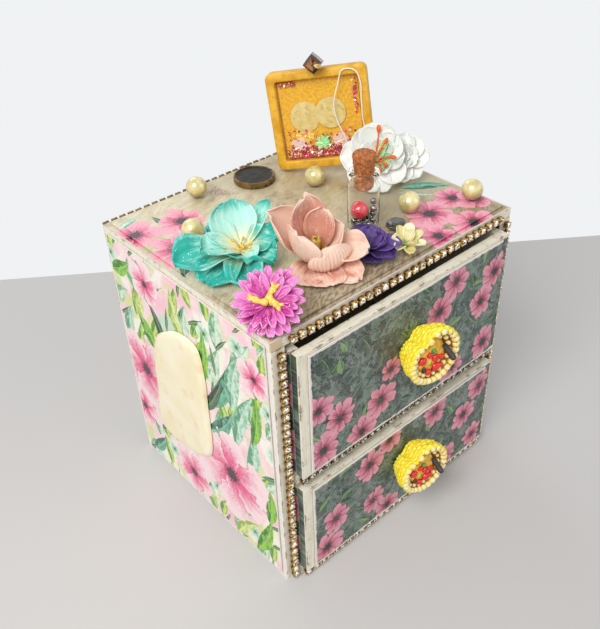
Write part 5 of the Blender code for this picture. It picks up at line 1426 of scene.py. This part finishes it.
white_petals = whorl(WHITE, 0.4, 3, [
    (turn, length, width, climb, climb + 10) for turn, length, width, climb in (
        (-92, 12.4, 12.0, 14), (-148, 11.4, 11.5, 18), (178, 12.0, 12.5, 20), (132, 10.5, 10.5, 22),
        (-45, 11.8, 10.5, 8), (0, 12.0, 9.5, 4), (48, 11.0, 9.5, 8), (92, 9.5, 9.0, 18),
        (-120, 7.6, 8.0, 34), (155, 7.8, 8.0, 36), (-70, 7.0, 7.0, 32), (30, 6.8, 6.0, 30))],
    cup=0.3, ruffle=0.38, waves=1.8)
white_petals += whorl(BLOSSOM, 0.3, 3, [
    (turn, length, width, climb, climb + 16) for turn, length, width, climb in (
        (88, 9.4, 8.0, 8), (40, 9.0, 8.0, 4), (0, 8.6, 7.5, 6), (128, 9.0, 8.0, 14), (168, 8.6, 8.0, 20),
        (-150, 8.0, 7.5, 24), (-50, 7.4, 6.5, 16), (64, 6.6, 6.4, 32), (14, 6.0, 6.0, 36),
        (112, 6.6, 6.4, 34), (155, 6.0, 6.0, 44), (-20, 5.0, 5.0, 44), (86, 4.6, 4.6, 56))],
    cup=0.36, ruffle=0.3, waves=1.8, rows=14, columns=11)
piece("white_petals", white_petals,
      petal_finish("white_paper", tint(232, 238, 232), tint(252, 252, 248), tint(170, 226, 196), vein=0.2,
                   relief=0.08),
      slot="white_petals", replaces=["white_flower"], smooth=80, wall=0.3)
piece("white_stamens", stamens(WHITE, 0.4, 0.34, (
    (176, 8.5, 6.2, 0.95), (150, 5.0, 6.7, 0.75), (80, 4.4, 6.8, 0.9), (40, 3.4, 5.8, 0.8),
    (10, 4.2, 5.2, 0.8), (-40, 2.6, 5.8, 0.7))),
      stamen_finish("orange_stamens", tint(226, 74, 34), tint(244, 130, 60)), slot="white_petals", smooth=60)
piece("white_heart", grown(WHITE, [
    (turn, 0.2, 0.8, long * 1.25, 2.6, 32, 46, 0.8, 0.2)
    for turn, long in ((60, 4.6), (100, 4.2), (140, 4.0), (-10, 4.2), (20, 4.8), (148, 6.6))],
    rows=10, columns=7),
      petal_finish("mint_paper", tint(150, 214, 170), tint(224, 236, 170), tint(110, 190, 146)),
      slot="white_petals", smooth=70, wall=0.25)
piece("flower_stems", [tube([(x, y, TOP_SEAT + 0.05), (x, y, (TOP_SEAT + z) / 2), (x, y, z + 0.6)], reach, 14,
                            (1, 0, 0))
                       for ((x, y, z), _), reach in ((TEAL, 2.0), (PEACH, 2.2), (DAISY, 1.6), (PURPLE, 1.2),
                                                     (CREAM, 1.0), (WHITE, 1.7), (BLOSSOM, 1.4))],
      petal_finish("stem_paper", tint(90, 150, 120), tint(170, 210, 180), tint(120, 170, 140)),
      slot="white_petals", smooth=60)


# ---- vial ----

RED_BEAD_RISE = 3.4    # the heap under the red bead is this much higher than the frame's own
VIAL_PROFILE = (
    (4.2, 0.0), (4.65, 0.12), (4.86, 0.5), (4.9, 1.0), (4.9, 14.6), (4.82, 15.4), (4.45, 16.3), (3.95, 17.0),
    (3.8, 17.6), (3.8, 18.7), (4.0, 19.0), (4.5, 19.2), (4.7, 19.6), (4.6, 20.05), (4.2, 20.3), (3.6, 20.25),
    (3.32, 19.9), (3.3, 17.3), (3.5, 16.6), (4.0, 15.9), (4.36, 15.0), (4.4, 14.4), (4.4, 1.4), (4.1, 0.75),
    (3.4, 0.6))


def foot_of(node):
    """The middle of a frame node's underside."""
    low, high = span(node)
    return np.array([(low[0] + high[0]) / 2, (low[1] + high[1]) / 2, low[2]])


def vial():
    """The glass, turned from its profile, and the cork: rings that widen above the neck, with a worn edge."""
    centre = foot_of("vial_glass")
    glass = Finish("clear_glass")
    glass.set(tint(252, 254, 253), 0.02, coat=(0.6, 0.02), transmission_weight=1.0, ior=1.12)
    piece("vial", [lathe(VIAL_PROFILE, 56, centre)], glass, slot="clear_glass", replaces=["vial_glass"],
          smooth=50)

    low, high = span("vial_cork")
    rows, sides = 26, 44
    t = np.linspace(0, 1, rows)[:, None]
    reach = 2.9 + 0.72 * np.clip((t - 0.5) / 0.5, 0, 1) ** 0.8
    reach[0] -= 0.35
    reach[-1] -= 0.45
    reach[-2] -= 0.08
    turn = turns(sides)[None, :]
    rough = (0.05 * np.sin(turn * 7 + t * 23) + 0.05 * np.sin(turn * 13 - t * 41)
             - 0.10 * (draws.random((rows, sides)) > 0.93)) * (t > 0.47)
    rings = polar(reach + rough, turn, low[2] - centre[2] + t * (high[2] - low[2])) + centre
    f = Finish("stained_cork")
    grain = f.noise(f.here(), 0.9, 5.0, 0.3, 0.62)
    pit = f.step(f.noise(f.here(), 0.7, 3.0), 0.64, 0.7)
    colour = f.over(tint(142, 76, 34), (f.step(grain, 0.34, 0.66), tint(206, 130, 74)),
                    (pit * 0.85, tint(66, 32, 18)))
    f.set(colour, 0.78, normal=f.bump(grain - pit * 0.6, 0.2, 0.8))
    piece("cork_stopper", [closed_rings(rings)], f, "cork", "cork", ["vial_cork"], 60)


def vial_beads():
    """The red bead and the heap of dark ones under it, in rings of six about the vial's axis."""
    centre = foot_of("vial_glass")
    low, high = span("red_bead")
    aside = (sum(span("dark_beads")) - low - high) / 2
    aside = math.atan2(aside[1], aside[0])
    red = mottled("red_pearl", tint(214, 34, 56), tint(240, 84, 98), 3.0, 0.16, 0.1, coat=(1.0, 0.04))
    piece("red_pearl", [ball((low + high) / 2 + [0, 0, RED_BEAD_RISE], (high[2] - low[2]) / 2, 20, 32)], red,
          slot="red_pearl", replaces=["red_bead"], smooth=80)
    steel = mottled("steel_beads", tint(92, 90, 92), tint(156, 152, 148), 1.0, 0.12, 0.9, coat=(0.6, 0.05))
    heap = [(3.15, 30 + 60 * number, 1.1) for number in range(6)] + [(0.0, 0, 1.1)]
    heap += [(2.9, 60 * number, 2.65) for number in range(6)]
    heap += [(3.05, 10, 4.8), (3.1, -8, 6.9), (3.15, 8, 9.0)]
    beads = [ball(polar(out, aside + math.radians(turn), height) + [*centre[:2], low[2]], 1.1, 12, 20)
             for out, turn, height in heap]
    piece("steel_beads", beads, steel, slot="dark_beads", replaces=["dark_beads"], smooth=80)


vial()
vial_beads()


# ---- pearls, medal and stone ----

def pearls():
    """Round craft pearls with a painted shade on their lower parts, each with the drilled hole turned its own
    way.
    """
    for number in range(1, 6):
        low, high = span(f"pearl_{number}")
        f = Finish(f"pearl_coat_{number}")
        cloud = f.wide_noise(f.here(), 2.6, 2.0)
        colour = f.blend(cloud, tint(204, 188, 116), tint(238, 226, 164))
        # Painted shade: each pearl is darker towards its foot on the top.
        colour = f.blend(f.step(f.z, TOP_SEAT, TOP_SEAT + 4.6), tint(150, 124, 60), colour)
        f.set(colour, 0.26, 0.15, coat=(1.0, 0.08), coat_ior=1.8)
        radius = (high[2] - low[2]) / 2
        turn = draws.uniform(0, 360)
        axis = unit([math.cos(turn), math.sin(turn), 0.25])
        side = unit(np.cross(axis, [0, 0, 1]))
        a = np.linspace(0.14, np.pi - 0.14, 26)
        profile = np.stack([np.sin(a), -np.cos(a)], -1) * radius
        dent = np.array([(0.10, -0.80), (0.12, -0.97)]) * radius
        profile = np.concatenate([dent, profile, dent[::-1] * [1, -1]])
        patch = placed(lathe(profile, 40), (low + high) / 2, side, np.cross(axis, side), axis)
        piece(f"craft_pearl_{number}", [patch], f, slot="cream_pearl", replaces=[f"pearl_{number}"],
              smooth=60)


MEDAL_X, MEDAL_Y = 3.0, 30.4


def medal():
    """A turned disc with a raised bright rim, a low plain relief of rays, and its loop."""
    centre = np.array([MEDAL_X, MEDAL_Y, span("medal")[0][2]])
    turn = turns(96)[None, :]
    reach = np.array([6.7, 7.1, 7.2, 7.2, 7.1, 6.8, 6.45, 6.25, 5.8, 4.8, 3.8, 2.8, 1.9, 1.2, 0.6])[:, None]
    height = np.array([0, 0.1, 0.35, 1.6, 1.9, 2.0, 1.9, 1.6] + [1.55] * 7)[:, None]
    rays = 0.03 * np.cos(turn * 12) * np.exp(-((reach - 4.2) / 1.1) ** 2)
    ring_line = 0.14 * np.exp(-((reach - 2.2) / 0.35) ** 2)
    disc = closed_rings(polar(reach, turn, height + rays + ring_line) + centre)
    f = Finish("patinated_bronze")
    dx, dy = f.x - MEDAL_X, f.y - MEDAL_Y
    rim = f.step((dx * dx + dy * dy).root(), 6.35, 6.6)
    patina = f.noise(f.here(), 2.4, 4.0)
    colour = f.over(tint(34, 32, 27), (f.step(patina, 0.3, 0.7), tint(60, 55, 46)),
                    (rim * f.step(patina, 0.3, 0.6), tint(140, 112, 66)))
    f.set(colour, patina * 0.3 + 0.22, 0.85, f.bump(patina, 0.06, 0.5))
    bend, across = turns(28)[:, None], turns(10)[None, :]
    eye = polar(1.05 + 0.38 * np.cos(across), bend, 0.5 * np.sin(across))
    eye += centre + polar(7.9, math.radians(70), 1.0)
    piece("bronze_medal", [disc, wound(eye)], f, slot="dark_bronze", replaces=["medal"], smooth=50)


def dark_stone():
    """A cushion of facets."""
    stone = facets(10, ((2.7, 0.0, 0), (3.3, 0.7, 0.5), (3.35, 1.1, 0), (2.8, 1.9, 0.5), (1.9, 2.4, 0)),
                   foot_of("dark_stone"))
    polish = mottled("polished_stone", tint(22, 24, 22), tint(66, 62, 54), 1.8, 0.08, coat=(1.0, 0.03))
    piece("polished_stone", [stone], polish, slot="dark_stone", replaces=["dark_stone"], smooth=None)


pearls()
medal()
dark_stone()


# ---- stage, camera and light ----

def stance(x_axis, y_axis, z_axis, place):
    """A matrix whose columns are three axes and a place."""
    return Matrix([(*row, offset) for row, offset in zip(np.transpose([x_axis, y_axis, z_axis]), place)]
                  + [(0, 0, 0, 1)])


# The camera as fitted to the photograph. Its focal length and the picture's height are in pixels; it looks
# past AIM from a distance, moved aside and up.
FOCAL, PICTURE_HEIGHT, SENSOR = 779.08, 629, 36
AZIMUTH, ELEVATION, ROLL = -39.91, 36.807, -2.489
AIM, DISTANCE, ASIDE, RAISED = (0, 0, 50), 278.977, -3.927, 8.55
camera = stood("camera", bpy.data.cameras.new("camera"))
azimuth, elevation, roll = np.radians([AZIMUTH, ELEVATION, ROLL])
back = np.array([math.sin(azimuth) * math.cos(elevation), -math.cos(azimuth) * math.cos(elevation),
                 math.sin(elevation)])
level = unit(np.cross(-back, [0, 0, 1]))
upright = np.cross(level, -back)
right = math.cos(roll) * level + math.sin(roll) * upright
above = -math.sin(roll) * level + math.cos(roll) * upright
eye = AIM + back * DISTANCE + right * ASIDE + above * RAISED
camera.matrix_world = stance(right, above, back, eye * MM)
camera.data.sensor_width = SENSOR
camera.data.lens = FOCAL * SENSOR / PICTURE_HEIGHT
camera.data.clip_start = 0.01
camera.data.clip_end = 20
bpy.context.scene.camera = camera


def on_floor(across, down):
    """Where a ray through a place in the picture, given in its heights, meets the floor, in metres."""
    ray = -back * FOCAL / PICTURE_HEIGHT + right * across - above * down
    return (eye - ray * (eye[2] / ray[2])) * MM


# The table's back edge runs from the picture's left side, a little above its middle, to its right side.
edge_left, edge_right = on_floor(-0.477, -0.055), on_floor(0.477, -0.126)
run, depth = (edge_right - edge_left) * 8, np.array([1.2, -2.6, 0])
ground = bpy.data.meshes.new("floor")
ground.from_pydata([edge_left - run, edge_left - run + depth, edge_right + run + depth, edge_right + run], [],
                   [(0, 1, 2, 3)])
f = Finish("floor")
f.set(tint(204, 203, 203), 0.75, specular_ior_level=0.2)
ground.materials.append(f.material)
stood("floor", ground)


def lamp(name, place, aim, size, power, colour=(1.0, 1.0, 1.0)):
    """A square soft light at a place, aimed at a point."""
    data = bpy.data.lights.new(name, "AREA")
    data.size = size
    data.energy = power
    data.color = colour
    out = unit(np.array(place) - np.array(aim))
    side = unit(np.cross([0, 0, 1], out))
    stood(name, data).matrix_world = stance(side, np.cross(out, side), out, place)


lamp("key", (-0.55, -0.25, 0.70), (0, 0, 0.06), 0.45, 5.7, (1.0, 0.98, 0.95))
lamp("fill", (0.5, -0.75, 0.45), (0, 0, 0.05), 0.6, 1.0, (0.96, 0.98, 1.0))
lamp("rim", (0.1, 0.7, 0.6), (0, 0, 0.06), 0.5, 1.2)

world = bpy.data.worlds.new("studio")
bpy.context.scene.world = world
world.use_nodes = True
sky = Nodes()
sky.tree = world.node_tree
sky.tree.nodes.clear()
ray = sky.node("LightPath", output="Is Camera Ray")
seen = ray.at_least(ray.other("Is Glossy Ray")).at_least(ray.other("Is Transmission Ray"))
glow = sky.node("Background", None, {"Color": (1.0, 1.0, 1.0), "Strength": 0.44})
shown = sky.node("Background", None, {"Color": tint(240, 242, 243), "Strength": 1.0})
sky.fill(sky.tree.nodes.new("ShaderNodeOutputWorld").inputs[0],
         sky.node("MixShader", None, {0: seen, 1: glow, 2: shown}))

bpy.context.scene.view_settings.view_transform = "Standard"
